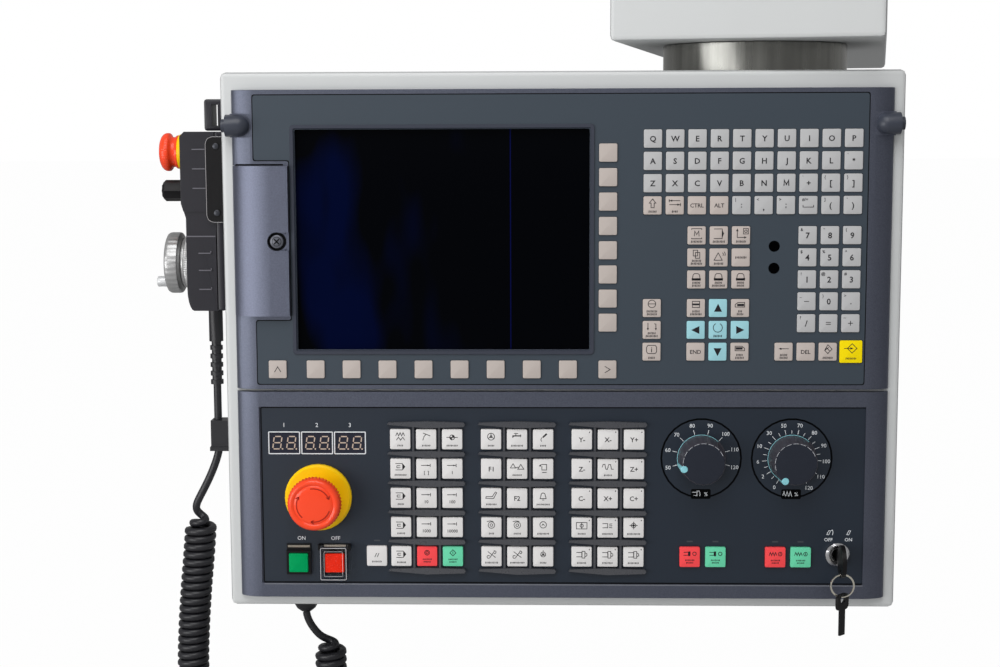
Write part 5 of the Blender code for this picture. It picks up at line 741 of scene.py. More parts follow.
class Print:
    """Print at one height over the console's front plane, in millimetres."""

    def __init__(self, height):
        self.bm = bmesh.new()
        self.low, self.high = height - SIGN_SINK, height + SIGN_DEPTH

    def stroke(self, run, width=LINE, closed=False):
        ribbon(self.bm, run, width, self.low, self.high, closed)

    def line(self, at, scale, run, width=LINE, closed=False):
        self.stroke([(at[0] + x * scale, at[1] + y * scale) for x, y in run], width, closed)

    def area(self, at, scale, outline):
        plate(self.bm, [(at[0] + x * scale, at[1] + y * scale) for x, y in outline], self.low, self.high)

    def patch(self, x, y, half_width, half_height):
        self.area((x, y), 1, box_points(0, 0, half_width, half_height))

    def arc(self, at, radius, start=0, end=360, width=LINE):
        """An arc between two angles in degrees, closed when it's a whole circle."""
        whole = end - start == 360
        steps = max(4, round(abs(end - start) / ARC_STEP))
        angles = [math.radians(start + (end - start) * i / steps) for i in range(steps + (0 if whole else 1))]
        run = [(at[0] + radius * math.cos(a), at[1] + radius * math.sin(a)) for a in angles]
        self.stroke(run, width, whole)

    def text(self, words, at, height, bold=1.0):
        """Plain type, centred, standing on its base line half its height under the place."""
        curve = bpy.data.curves.new("type", "FONT")
        curve.body = words
        curve.size = height / LETTER_SHARE
        curve.resolution_u = 2
        curve.extrude = (self.high - self.low) / 2
        curve.offset = height * BOLD_SHARE * bold
        holder = bpy.data.objects.new("type", curve)
        mesh = bpy.data.meshes.new_from_object(holder)
        across = [v.co.x for v in mesh.vertices]
        middle = (min(across) + max(across)) / 2
        mesh.transform(Matrix.Translation((at[0] - middle, at[1] - height / 2, (self.low + self.high) / 2)))
        self.bm.from_mesh(mesh)
        bpy.data.objects.remove(holder)
        bpy.data.curves.remove(curve)
        bpy.data.meshes.remove(mesh)

    def words(self, at, width, height=BAR_TALL):
        """A word too small to read: upright bars of unlike heights."""
        count = max(3, round(width / BAR_PITCH))
        step = width / count
        for i in range(count):
            x = at[0] - width / 2 + step * (i + 0.5)
            tall = height * BAR_SHARES[i % 3]
            run = ((x - step * 0.08, at[1] - tall / 2), (x + step * 0.08, at[1] + tall / 2))
            self.stroke(run, step * 0.55)

    def icon(self, name, at, scale):
        """One of ICONS, stroke by stroke."""
        for stroke in ICONS[name].split("; "):
            kind, *numbers = stroke.split()
            values = [int(number) / 100 for number in numbers]
            place = at[0] + values[0] * scale, at[1] + values[1] * scale
            if kind == "C":
                self.arc(place, values[2] * scale, int(numbers[3]), int(numbers[4]))
                continue
            if kind == "T":
                self.text("i", place, values[2] * scale)
                continue
            if kind in "BF":
                run = box_points(*values)
            elif kind == "W":
                run = wave(*values[:4], int(numbers[4]))
            else:
                run = list(zip(values[::2], values[1::2]))
            if kind in "AF":
                self.area(at, scale, run)
            else:
                self.line(at, scale, run, closed=kind in "OB")

    def done(self, name, material, body="console", slot="key_plastic"):
        front(name, self.bm, material, slot, body=body)


def wave(left, right, y, rise, count):
    """Points of a zigzag line."""
    step = (right - left) / count
    return [(left + step * i, y + (rise if i % 2 else -rise)) for i in range(count + 1)]


def box_points(x, y, half_width, half_height):
    return [(x - half_width, y - half_height), (x + half_width, y - half_height),
            (x + half_width, y + half_height), (x - half_width, y + half_height)]


# Icons in hundredths of half a key: L a line, O a closed one and A an area with their points, B a box and
# F a filled one with middle and half sides, W a zigzag with left, right, height, rise and count, C an arc
# with middle, radius and two angles, T the letter i with place and height
ICONS = {
    "shift": "O 0 72 -36 26 -17 26 -17 -24 17 -24 17 26 36 26",
    "tabs": "L -62 68 -62 36; L -60 52 60 52; A -60 52 -28 40 -28 64; L 62 24 62 -8; L -60 8 60 8; "
        "A 60 8 28 20 28 -4",
    "space": "L -58 2 -58 -22 58 -22 58 2",
    "machine": "L -55 62 -55 76 55 76 55 62; L -55 -26 -55 -36 55 -36 55 -22; "
        "L -26 -8 -22 48 0 10 22 48 26 -8",
    "program": "L -55 72 36 72 36 -34 -55 -34; A 34 -34 56 19 34 72",
    "axes": "L -42 60 -42 -22 42 -22; A -56 46 -28 46 -42 78; A 36 -36 36 -8 62 -22; B 52 46 26 30; "
        "C 52 46 14 0 360",
    "files": "B -12 50 24 32; B 12 24 24 32",
    "alarm": "O -50 -30 40 -30 -5 52; C 30 34 22 -40 60; C 36 36 36 -30 50",
    "screen": "O -42 2 -36 50 -20 66 20 66 36 50 42 2; F 0 2 50 13",
    "cancel": "C 0 48 42 0 360; L -40 48 40 48",
    "channels": "L -42 80 -42 10; A -54 22 -30 22 -42 -6; L 28 70 46 66 46 10; A 34 22 58 22 46 -6",
    "info": "O -56 0 -56 50 -40 72 40 72 56 50 56 0 40 -20 -40 -20; T 0 26 62",
    "window": "B 0 42 40 34; F 0 42 40 10",
    "page_up": "O -55 12 -55 40 -25 62 50 62 50 12; F 5 35 38 13",
    "page_down": "O 55 12 55 40 25 62 -50 62 -50 12; F -5 38 38 13",
    "up": "A -44 -40 44 -40 0 50",
    "down": "A 44 40 -44 40 0 -50",
    "left": "A 40 -44 40 44 -50 0",
    "right": "A -40 44 -40 -44 50 0",
    "select": "C 0 26 50 118 422",
    "back": "L -40 34 56 34; A -58 34 -26 22 -26 46",
    "insert": "O 0 80 46 30 0 -20 -34 16; L -20 50 20 10; L -34 16 10 50",
    "input": "O 10 72 52 30 10 -12 -32 30; L -60 30 0 30; A -6 18 -6 42 22 30",
    "jog": "W -44 44 50 16 6; W -38 46 6 14 4",
    "corner": "L -34 -10 -20 30 2 50 42 34; L -30 62 2 50",
    "reference": "L -56 20 56 20; C 0 20 24 0 360; A 0 20 24 20 17 37 0 44; A 0 20 -24 20 -17 3 0 -4",
    "block": "L -50 52 18 52 44 20 18 -12 -50 -12; A 18 52 44 20 18 -12; L -36 30 -2 30; L -36 10 -2 10; "
        "L -36 30 -36 10",
    "step": "L -52 34 34 34; A 10 26 10 42 34 34; L 38 50 38 18",
    "spokes": "C 0 28 34 0 360; L 0 28 0 60; L 0 28 -28 10; L 0 28 28 10; C 0 28 10 0 360",
    "tap": "A -46 14 -30 30 34 30 34 42 -46 42; L -12 42 -12 60; L -30 60 10 60; L 36 50 36 24",
    "drop": "A -10 24 30 64 42 50 2 16; L -12 20 -22 -2 -14 -20",
    "triangles": "O -66 10 -14 10 -40 52; O 6 -2 66 -2 36 46; L -14 10 12 20",
    "loop": "L -30 34 -10 46 34 46 34 -10 -12 -10 -12 30; L -10 -34 34 -34; A -44 30 -24 46 -22 24",
    "conveyor": "O -54 0 -50 16 10 16 40 62 54 56 24 0 14 -4",
    "lamp": "C 0 34 20 0 180; L -20 34 -30 -2 30 -2 20 34; L -10 -16 10 -16",
    "rotate": "C 0 24 32 0 360; C 0 24 13 0 360; L -44 60 -10 66 20 60",
    "circle": "C 0 28 32 0 360; L -14 20 -2 36 14 20",
    "crossed": "L -36 50 40 -10; L -20 -16 30 56; C -30 -4 14 40 300; C 30 44 14 -120 120",
    "turret": "C 0 22 24 0 360; L 0 46 0 66; L -24 14 24 14; F 0 24 10 10",
    "wave": "L -56 18 -46 48 -30 48 -20 0 -4 0 8 46 26 46 36 0 56 0",
    "door": "B 0 20 52 32; L 0 52 0 -12; C 0 20 16 0 360",
    "nozzle": "L -50 42 0 42 0 0 -50 0; L 14 36 46 40; L 14 20 46 20; L 14 4 46 0",
    "target": "C 0 24 22 0 360; L -40 24 40 24; L 0 62 0 -14; F 0 24 10 10",
    "chuck": "L -52 44 2 44 2 0 -52 0; B 18 22 14 34; L 34 42 52 30 52 12 34 2",
    "stop": "C 0 36 24 0 360; C 0 36 12 0 360",
    "start": "O 0 68 30 36 0 4 -30 36; L 0 50 0 22",
    "spindle": "L -60 50 -14 50 -14 20 -60 20; F -4 35 10 24; C 46 35 17 0 360",
    "feed": "W -62 14 35 16 6; C 46 35 18 0 360; L 46 45 46 25",
}


# Sheets with holes
def sheet(name, outlines, low, high, material):
    """A flat sheet: the first outline is its edge and the others are holes."""
    shape = bpy.data.curves.new(name, "CURVE")
    shape.dimensions = "2D"
    shape.fill_mode = "BOTH"
    shape.extrude = (high - low) / 2
    for outline in outlines:
        line = shape.splines.new("POLY")
        line.points.add(len(outline) - 1)
        for spot, (x, y) in zip(line.points, outline):
            spot.co = (x, y, 0, 1)
        line.use_cyclic_u = True
    holder = bpy.data.objects.new(name, shape)
    mesh = bpy.data.meshes.new_from_object(holder)
    mesh.transform(Matrix.Translation((0, 0, (low + high) / 2)))
    bm = bmesh.new()
    bm.from_mesh(mesh)
    bmesh.ops.remove_doubles(bm, verts=bm.verts, dist=0.0001)
    bpy.data.objects.remove(holder)
    bpy.data.curves.remove(shape)
    front(name, bm, material, "slate_plastic")


def softened(points, radius, steps=4):
    """A closed outline with round corners."""
    points = list(points)
    return soften([points[-1]] + points + [points[0]], radius, steps)[1:-1]


def moved(outline, x, y):
    return [(x + px, y + py) for px, py in outline]


def collar(bm, profile, count=96):
    """An open ring turned from a closed profile, radius and height."""
    band(bm, [[(x, y, height) for x, y in circle(radius, count)] for radius, height in profile])


# Places of the keys, each x and z
def key_place(column, top, row):
    return KEYS_LEFT + KEY_PITCH * column, top - KEY_PITCH * row


def machine_place(block, column, row):
    return BLOCKS_X[block] + MACHINE_COLUMN * (column - 1), MACHINE_TOP - MACHINE_ROW * row


EDIT_Z = key_place(0, CURSOR_TOP, 2)[1]
LETTERS = [key_place(c, LETTERS_TOP, r) for r in range(4) for c in range(10)]
SHIFTS = LETTERS[30:34]
PLAIN_LETTERS = LETTERS[:30] + LETTERS[34:]
NUMBERS = [key_place(7 + c, NUMBERS_TOP, r) for r in range(5) for c in range(3)]
MENUS = [key_place(2 + c, NUMBERS_TOP, r) for r in range(3) for c in range(3)]
CURSORS = [key_place(2 + c, CURSOR_TOP, r) for r in range(3) for c in range(3)]
CYANS = [CURSORS[i] for i in (1, 3, 4, 5, 7)]
ALARMS = [key_place(0, CURSOR_TOP, r) for r in range(3)]
EDITS = [key_place(c, CURSOR_TOP, 2) for c in (6, 7, 8)]
BEIGES = SHIFTS + MENUS + [CURSORS[i] for i in (0, 2, 6, 8)] + ALARMS + EDITS
SIDE_SOFTKEYS = [(SOFTKEY_X, SOFTKEY_TOP - SOFTKEY_PITCH * i) for i in range(SOFTKEYS)]
LOW_SOFTKEYS = [(LOW_SOFTKEY_LEFT + LOW_SOFTKEY_PITCH * i, LOW_SOFTKEY_Z) for i in range(SOFTKEYS)]
SOFTKEY_PLACES = SIDE_SOFTKEYS + LOW_SOFTKEYS + [(RECALL_X, LOW_SOFTKEY_Z), (SOFTKEY_X, LOW_SOFTKEY_Z)]
RESET_AT = (RESET_X, machine_place(0, 0, 4)[1])
CYCLE_STOP_AT = machine_place(0, 1, 4)
CYCLE_START_AT = machine_place(0, 2, 4)
MACHINE_PLACES = [machine_place(b, c, r) for b in range(3) for r in range(5) for c in range(3)]
PLAIN_MACHINE = [p for p in MACHINE_PLACES if p not in (CYCLE_STOP_AT, CYCLE_START_AT)] + [RESET_AT]
COLOURED_KEYS = (
    ("cycle_stop", CYCLE_STOP_AT, RED_KEY, "soft_red", "stop"),
    ("cycle_start", CYCLE_START_AT, GREEN_KEY, "soft_green", "start"),
    ("spindle_stop", (COLOURED_X[0], RESET_AT[1]), RED_KEY, "soft_red", "spindle"),
    ("spindle_start", (COLOURED_X[1], RESET_AT[1]), GREEN_KEY, "soft_green", "spindle"),
    ("feed_stop", (COLOURED_X[2], RESET_AT[1]), RED_KEY, "soft_red", "feed"),
    ("feed_start", (COLOURED_X[3], RESET_AT[1]), GREEN_KEY, "soft_green", "feed"),
)
STOP_AT = (-181.0, -301.5)
POWER_ON_AT = (-196.5, -351.2)
POWER_OFF_AT = (-169.3, -351.2)
SPINDLE_KNOB_AT = (103.9, -271.7)
FEED_KNOB_AT = (170.7, -271.7)
LOCK_AT = (205.5, -344.0)
DIGITS_X = (-206.2, -181.6, -157.0)
DIGITS_Z = -260.6
HOLE_MARGIN = 0.5


def square(place, size, corner=1.0):
    return moved(rounded(size, size, corner, 3), *place)


# Panels
FOIL_LEFT, FOIL_RIGHT, FOIL_TOP, FOIL_LOW = -224.5, 222.0, -4.0, -216.0
FOIL_INNER, FOIL_TAB_TOP, FOIL_TAB_LOW = -198.4, -50.9, -169.0
INSET_LEFT, INSET_RIGHT, INSET_TOP, INSET_LOW = -223.8, 225.7, -233.2, -367.5
SCREEN_MIDDLE = ((SCREEN_LEFT + SCREEN_RIGHT) / 2, (SCREEN_TOP + SCREEN_LOW) / 2)
SCREEN_SIDE = (SCREEN_RIGHT - SCREEN_LEFT, SCREEN_TOP - SCREEN_LOW)
BEZEL_PROFILE = (
    (3.3, 0.0), (3.3, 0.9), (3.0, 1.2), (0.9, 1.2), (0.25, 0.3), (0.05, -4.0), (0.8, -4.0), (1.2, 0.0),
)


def foil_outline(grow):
    """The upper foil's edge, which leaves room for the port flap on the left."""
    left, right, top, low = FOIL_LEFT - grow, FOIL_RIGHT + grow, FOIL_TOP + grow, FOIL_LOW - grow
    inner = FOIL_INNER - grow
    tab_top, tab_low = FOIL_TAB_TOP - grow, FOIL_TAB_LOW + grow
    corners = ((right, top), (left, top), (left, tab_top), (inner, tab_top), (inner, tab_low),
               (left, tab_low), (left, low), (right, low))
    return softened(corners, 2.0)


def upper_foil():
    keys = LETTERS + NUMBERS + MENUS + CURSORS + ALARMS + EDITS + SOFTKEY_PLACES
    screen = moved(rounded(*SCREEN_SIDE, 1.5), *SCREEN_MIDDLE)
    holes = [screen] + [square(place, KEY + HOLE_MARGIN) for place in keys]
    holes.append(square(INPUT_AT, INPUT_SIZE + HOLE_MARGIN))
    holes += [circle(LAMP_RADIUS, 32, *place) for place in LAMPS_AT]
    sheet("foil_groove", [foil_outline(GROOVE), screen], -0.03, 0.05, GROOVE_AND_SHADE_BLACK)
    sheet("upper_foil", [foil_outline(0)] + holes, 0.02, FOIL_THICKNESS, FOIL)


def screen_bezel():
    """The lip round the screen, with a bright inner edge."""
    bm = bmesh.new()
    rings = []
    for grow, height in BEZEL_PROFILE:
        outline = rounded(SCREEN_SIDE[0] + 2 * grow, SCREEN_SIDE[1] + 2 * grow, 0.6 + grow * 0.6)
        rings.append([(x, z, height) for x, z in moved(outline, *SCREEN_MIDDLE)])
    band(bm, rings)
    front("screen_bezel", bm, BEZEL_PLASTIC, "slate_plastic")


def windows():
    """Two black round windows beside the number keys."""
    bm = bmesh.new()
    for place in LAMPS_AT:
        turned(bm, ((LAMP_RADIUS - 0.1, 0.12), (LAMP_RADIUS - 0.05, -1.2)), 32, *place)
    front("sensor_windows", bm, BLACK_GLASS, "dark_plastic")


def inset_outline(inward):
    """The lower inset's edge, drawn in a little."""
    return moved(rounded(INSET_RIGHT - INSET_LEFT - 2 * inward, INSET_TOP - INSET_LOW - 2 * inward, 1.2),
                 (INSET_LEFT + INSET_RIGHT) / 2, (INSET_TOP + INSET_LOW) / 2)


def lower_foil():
    """The dark sheet in the lower panel's inset."""
    holes = [square(place, MACHINE_KEY + 2 * HOLE_MARGIN) for place in MACHINE_PLACES]
    singles = [RESET_AT] + [row[1] for row in COLOURED_KEYS[2:]]
    holes += [square(place, MACHINE_KEY + HOLE_MARGIN) for place in singles]
    holes += [moved(rounded(23.3, 16.7, 0.3), x, DIGITS_Z) for x in DIGITS_X]
    holes += [circle(20, 48, *STOP_AT), square(POWER_ON_AT, 15.4), square(POWER_OFF_AT, 15.4)]
    holes += [circle(12, 32, *SPINDLE_KNOB_AT), circle(12, 32, *FEED_KNOB_AT), circle(8, 32, *LOCK_AT)]
    sheet("lower_foil", [inset_outline(0.3)] + holes, INSET_FACE - 0.02, INSET_PRINT, LOWER_FOIL)


# Keys
def caps(name, places, size, low, high, material, mats=(), *nodes):
    """Key caps of one colour in one mesh, over the mats that join them."""
    bm = bmesh.new()
    for x, z in places:
        key_cap(bm, x, z, size, KEY_CORNER, low, high)
    front(name, bm, material, "key_plastic", *nodes)
    if not mats:
        return
    bm = bmesh.new()
    for first, last in mats:
        box(bm, (first[0] - size / 2 - 1.9, last[1] - size / 2 - 1.9, low - 1.4),
            (last[0] + size / 2 + 1.9, first[1] + size / 2 + 1.9, low + 0.1))
    front(name + "_mat", bm, RUBBER, "rubber")


def single_key(name, place, size, foot, face, material, slot, node, body):
    """A key of its own, with the plate under its cap."""
    bm = bmesh.new()
    key_cap(bm, *place, size, KEY_CORNER, foot, face)
    plate(bm, square(place, size + 2.2), foot - 0.8, foot)
    front(name, bm, material, slot, node, body=body)


def keyboard():
    mats = [(field[0], field[-1]) for field in (LETTERS, NUMBERS, MENUS, CURSORS, ALARMS)]
    mats.append((EDITS[0], (EDITS[-1][0] - 1.0, EDIT_Z)))
    caps("letter_keys", PLAIN_LETTERS + NUMBERS, KEY, KEY_FOOT, KEY_PROUD, LIGHT_KEY, mats, "keyboard_mat")
    caps("menu_keys", BEIGES, KEY, KEY_FOOT, KEY_PROUD, BEIGE_KEY)
    caps("cursor_keys", CYANS, KEY, KEY_FOOT, KEY_PROUD, CYAN_KEY)
    mats = ((SIDE_SOFTKEYS[0], SIDE_SOFTKEYS[-1]), (SOFTKEY_PLACES[-2], SOFTKEY_PLACES[-1]))
    caps("softkey_caps", SOFTKEY_PLACES, KEY, KEY_FOOT, KEY_PROUD, SOFT_KEY, mats, "softkeys")
    single_key("input_cap", INPUT_AT, INPUT_SIZE, -4.2, KEY_PROUD, YELLOW_KEY, "signal_yellow", "input_key",
               "input_button")


def letter_sign(ink, sign, x, z):
    """One sign of the letter keys, drawn from given strokes where the type's own is too slight."""
    if sign == ",":
        ink.text(sign, (x, z - 1.2), 4.6, bold=2.0)
    elif sign == "*":
        for turn in (30, 90, 150):
            reach = ray(math.radians(turn)) * 1.1
            ink.line((x, z + 0.6), 1, (-reach, reach))
    elif sign == "M":
        ink.line((x, z), 1, ((-1.75, -2.0), (-1.55, 1.9), (0, -1.2), (1.55, 1.9), (1.75, -2.0)), 0.75)
    elif sign in ":;":
        for rise in (-1.3, 0.7):
            ink.patch(x, z + rise, 0.36, 0.36)
        if sign == ";":
            ink.line((x, z), 1, ((0.2, -1.3), (-0.3, -2.2)), 0.45)
    elif sign != " ":
        ink.text(sign, (x, z), 4.2, bold=1.9)


def number_sign(ink, sign, x, z):
    """One sign of the number keys."""
    if sign in "-=+":
        for rise in (-0.7, 0.7) if sign == "=" else (0,):
            ink.line((x, z + rise), 1, ((-1.8, 0), (1.8, 0)))
        if sign == "+":
            ink.line((x, z), 1, ((0, -1.8), (0, 1.8)))
    elif sign == ".":
        ink.patch(x, z - 1.7, 0.4, 0.4)
    else:
        ink.text(sign, (x, z), 4.4, bold=1.9)


# Signs of the upper panel: icons with the width of the word under each, further words over those, and type
NAMED_KEYS = (
    ("shift", SHIFTS[0], 6), ("tabs", SHIFTS[1], 4.5), ("machine", MENUS[0], 8.5), ("program", MENUS[1], 9),
    ("axes", MENUS[2], 7.5), ("files", MENUS[3], 8.5), ("alarm", MENUS[4], 7), ("screen", MENUS[6], 6.5),
    ("screen", MENUS[7], 9.5), ("screen", MENUS[8], 5.5), ("cancel", ALARMS[0], 7.5),
    ("channels", ALARMS[1], 9),
    ("info", ALARMS[2], 5), ("window", CURSORS[0], 8.5), ("page_up", CURSORS[2], 5),
    ("page_down", CURSORS[8], 6.5), ("up", CURSORS[1], 0), ("left", CURSORS[3], 0),
    ("select", CURSORS[4], 6.5), ("right", CURSORS[5], 0), ("down", CURSORS[7], 0), ("back", EDITS[0], 6),
    ("insert", EDITS[2], 7.5),
)
UPPER_WORDS = (
    (MENUS[3], 7), (MENUS[6], 6), (MENUS[7], 5.5), (MENUS[8], 5.5), (ALARMS[0], 8), (ALARMS[1], 6),
    (CURSORS[0], 5.5), (CURSORS[2], 3), (CURSORS[8], 5), (EDITS[0], 5.5),
)
TYPED_KEYS = (("CTRL", SHIFTS[2]), ("ALT", SHIFTS[3]), ("END", CURSORS[6]), ("DEL", EDITS[1]))
CORNER_LETTERS = LETTERS[19:20] + LETTERS[27:30] + LETTERS[34:]
CORNER_SIGNS = ("'", "`", "{", "}", "|", "<", ">", "#/=", "]", "'")
CARET = (((-0.36, -0.3), (0, 0.3), (0.36, -0.3)), ((-0.3, 0.36), (0.3, 0), (-0.3, -0.36)))


def keyboard_signs():
    ink = Print(KEY_PROUD)
    for sign, place in zip("QWERTYUIOP" "ASDFGHJKL*" "ZXCVBNM+[]" "    :,; ()", LETTERS):
        letter_sign(ink, sign, *place)
    for sign, place in zip("789456123-0./=+", NUMBERS):
        number_sign(ink, sign, *place)
    corners = dict(zip(CORNER_LETTERS, CORNER_SIGNS))
    corners.update(zip(NUMBERS, "&*($%^!@#_)>? ~"))
    for (x, z), sign in corners.items():
        if sign.strip():
            ink.text(sign, (x - (2.4 if len(sign) > 1 else 4.3), z + 4.2), 2.2, bold=2.0)
    half = KEY / 2
    ink.icon("space", LETTERS[37], half)
    for icon, place, width in NAMED_KEYS:
        ink.icon(icon, place, half)
        if width:
            ink.words((place[0], place[1] - half * 0.68), width)
    for place, width in UPPER_WORDS:
        ink.words((place[0], place[1] - half * 0.36), width)
    ink.words(MENUS[5], 8.5)
    for text, place in TYPED_KEYS:
        ink.text(text, place, 3.0, bold=1.4)
    for place, run in zip(SOFTKEY_PLACES[-2:], CARET):
        ink.line(place, half, run)
    ink.done("keyboard_signs", SIGN_DARK)
    ink = Print(KEY_PROUD)
    ink.icon("input", INPUT_AT, INPUT_SIZE / 2)
    ink.words((INPUT_AT[0], INPUT_AT[1] - 5.0), 8, 1.5)
    ink.done("input_sign", SIGN_DARK, "input_button")


def machine_panel():
    """The plain machine keys with their mats, and the coloured keys that travel."""
    mats = [(machine_place(b, 0, 0), machine_place(b, 2, 4 if b else 3)) for b in range(3)]
    mats += [(machine_place(0, 0, 4), machine_place(0, 0, 4)), (RESET_AT, RESET_AT)]
    caps("machine_caps", PLAIN_MACHINE, MACHINE_KEY, MACHINE_FOOT, MACHINE_FACE, MACHINE_CAP, mats,
         "machine_keys")
    half = MACHINE_KEY / 2
    for body, place, material, slot, icon in COLOURED_KEYS:
        single_key(body + "_cap", place, MACHINE_KEY, -4.7, MACHINE_FACE, material, slot, body + "_key", body)
        ink = Print(MACHINE_FACE)
        ink.icon(icon, place, half)
        ink.words((place[0], place[1] - half * 0.3), 7, 1.2)
        ink.words((place[0], place[1] - half * 0.56), 5.5, 1.2)
        ink.done(body + "_sign", SIGN_DARK, body, slot)


# Signs of the machine keys, each with the type or the width of the word under it
MACHINE_SIGNS = (
    (("jog", 4.5), ("corner", 6.5), ("reference", 8.5),
     ("block", 9), ("step", "[  ]"), ("step", "1"),
     ("block", 5), ("step", "10"), ("step", "100"),
     ("block", 6), ("step", "1000"), ("step", "10000"),
     ("block", 7)),
    (("spokes", 5), ("tap", 9), ("drop", 4.5),
     ("F1", 0), ("triangles", 7), ("loop", 0),
     ("conveyor", 8), ("F2", 0), ("lamp", 10),
     ("rotate", 4), ("rotate", 5.5), ("circle", 9),
     ("crossed", 10), ("crossed", 11), ("turret", 5)),
    (("Y-", 0), ("X-", 0), ("Y+", 0),
     ("Z-", 0), ("wave", 6), ("Z+", 0),
     ("C-", 0), ("X+", 0), ("C+", 0),
     ("door", 6), ("nozzle", 8), ("target", 10),
     ("chuck", 7), ("chuck", 8), ("chuck", 8.5)),
)


def machine_signs():
    ink = Print(MACHINE_FACE)
    half = MACHINE_KEY / 2
    for block, signs in enumerate(MACHINE_SIGNS):
        for i, (sign, under) in enumerate(signs):
            x, z = machine_place(block, i % 3, i // 3)
            if sign in ICONS:
                ink.icon(sign, (x, z), half)
            else:
                ink.text(sign, (x, z), 3.6, bold=1.5)
            if isinstance(under, str):
                ink.text(under, (x, z - half * 0.36), 2.4, bold=1.2)
            elif under:
                ink.words((x, z - half * 0.62), under, 1.3)
            if block == 2:
                ink.patch(x + half * 0.76, z + half * 0.74, 0.35, 0.45)
    for side in (-0.9, 0.9):
        ink.line((RESET_AT[0] + side, RESET_AT[1] + 0.8), 1, ((-0.7, -1.5), (0.7, 1.5)))
    ink.words((RESET_AT[0], RESET_AT[1] - half * 0.55), 7.5, 1.3)
    ink.done("machine_signs", SIGN_DARK)
    lamps = Print(INSET_PRINT)
    for x in (RESET_X,) + COLOURED_X:
        lamps.patch(x, -334.8, 2.2, 0.55)
    lamps.done("key_lamps", LAMP_GREY)


# Displays
DIGIT_LEAN = 0.14
DIGIT_HALF = (2.9, 4.7)
DIGIT_SIDES = (-5.2, 5.2)
DIGIT_TRIM = 0.7
DIGIT_LINE = 0.85


def digits():
    """Two eights in each window, with leaning segments that don't quite meet."""
    ink = Print(-1.8)
    w, h = DIGIT_HALF
    short, low = w - DIGIT_TRIM, h - DIGIT_TRIM
    segments = [((-short, y), (short, y)) for y in (-h, 0, h)]
    segments += [((x, a), (x, b)) for x in (-w, w) for a, b in ((-low, -DIGIT_TRIM), (DIGIT_TRIM, low))]
    for window in DIGITS_X:
        for side in DIGIT_SIDES:
            for run in segments:
                ink.stroke([(window + side + x + y * DIGIT_LEAN, DIGITS_Z + y) for x, y in run], DIGIT_LINE)
            ink.area((window + side + w + 1.5 - h * DIGIT_LEAN, DIGITS_Z - h), 1, circle(0.62, 10))
    ink.done("digit_segments", SEGMENT, slot="dark_plastic")


def panel_labels():
    """The frames and numbers of the digit windows, and the words at the power buttons and the key lock."""
    ink = Print(INSET_PRINT)
    for number, window in enumerate(DIGITS_X):
        outline = moved(rounded(23.0, 16.4, 0.4, 2), window, DIGITS_Z)
        ribbon(ink.bm, outline, 0.75, ink.low, ink.high + 0.05, True)
        ink.text(str(number + 1), (window, DIGITS_Z + 13.6), 3.2, bold=0.5)
    ink.text("ON", (POWER_ON_AT[0] + 2, POWER_ON_AT[1] + 18.2), 2.9, bold=0.5)
    ink.text("OFF", (POWER_OFF_AT[0] + 0.5, POWER_OFF_AT[1] + 18.2), 2.9, bold=0.5)
    for x, word in ((-6.6, "OFF"), (8.2, "ON")):
        at = (LOCK_AT[0] + x, LOCK_AT[1] + 11.0)
        ink.text(word, at, 2.6)
        ink.line((at[0], at[1] + 5.2), 1, ((-1.3, -1.4), (0.2, 1.6), (1.5, 1.4), (0.2, -1.6)), 0.4, True)
    at = (LOCK_AT[0] - 4.2, LOCK_AT[1] + 16.4)
    ink.line(at, 1, ((-0.9, 1.2), (0.4, 1.8), (0.9, 0.6), (0.6, -2.0)), 0.45)
    ink.done("panel_labels", SIGN_WHITE, slot="slate_plastic")


# Emergency stop
STOP_FACE = 28.62
STOP_ARROWS = (24, 152, 264)
ARROW_R = 12.4
ARROW_SPAN = 76
STOP_PROFILE = (
    (0, 28.9), (5, 28.9), (9, 28.8), (12, 28.6), (13.9, 28.3), (14.4, 27.9), (14.9, 28.2), (15.8, 28.7),
    (16.8, 28.8), (17.8, 28.4), (18.7, 27.5), (19.3, 26.2, 0.1), (19.7, 24.6, 0.45), (20.0, 22.4, 0.8),
    (20.0, 20.6, 0.8), (19.7, 19.6, 0.5), (17.5, 17.2), (14.8, 13.2), (13.0, 10.0), (12.5, 8.4),
)


def fluted(bm, profile, count, flutes, x=0, y=0):
    """A turned solid: where a profile point has a third number, the flutes cut that deep there."""
    rings = []
    for radius, height, *cut in profile:
        ring = []
        for i in range(count):
            angle = 2 * math.pi * i / count
            depth = cut[0] * (0.5 + 0.5 * math.cos(flutes * angle)) if cut else 0
            r = max(radius - depth, TIP)
            ring.append((x + r * math.cos(angle), y + r * math.sin(angle), height))
        rings.append(ring)
    loft(bm, rings)


def emergency_stop():
    bm = bmesh.new()
    fluted(bm, STOP_PROFILE, 288, 48, *STOP_AT)
    front("stop_mushroom", bm, RED, "signal_red", "estop_mushroom", body="stop_head")
    ink = Print(STOP_FACE)
    for turn in STOP_ARROWS:
        ink.arc(STOP_AT, ARROW_R, turn, turn + ARROW_SPAN, 0.85)
        out = ray(math.radians(turn + 2))
        ahead = Vector((out.y, -out.x))
        foot = Vector(STOP_AT) + out * ARROW_R
        for side in (-1, 1):
            ink.stroke((foot - ahead * 1.2 + out * side * 1.5, foot + ahead * 1.0), 0.8)
    ink.done("stop_arrows", ENGRAVED, "stop_head", "signal_red")


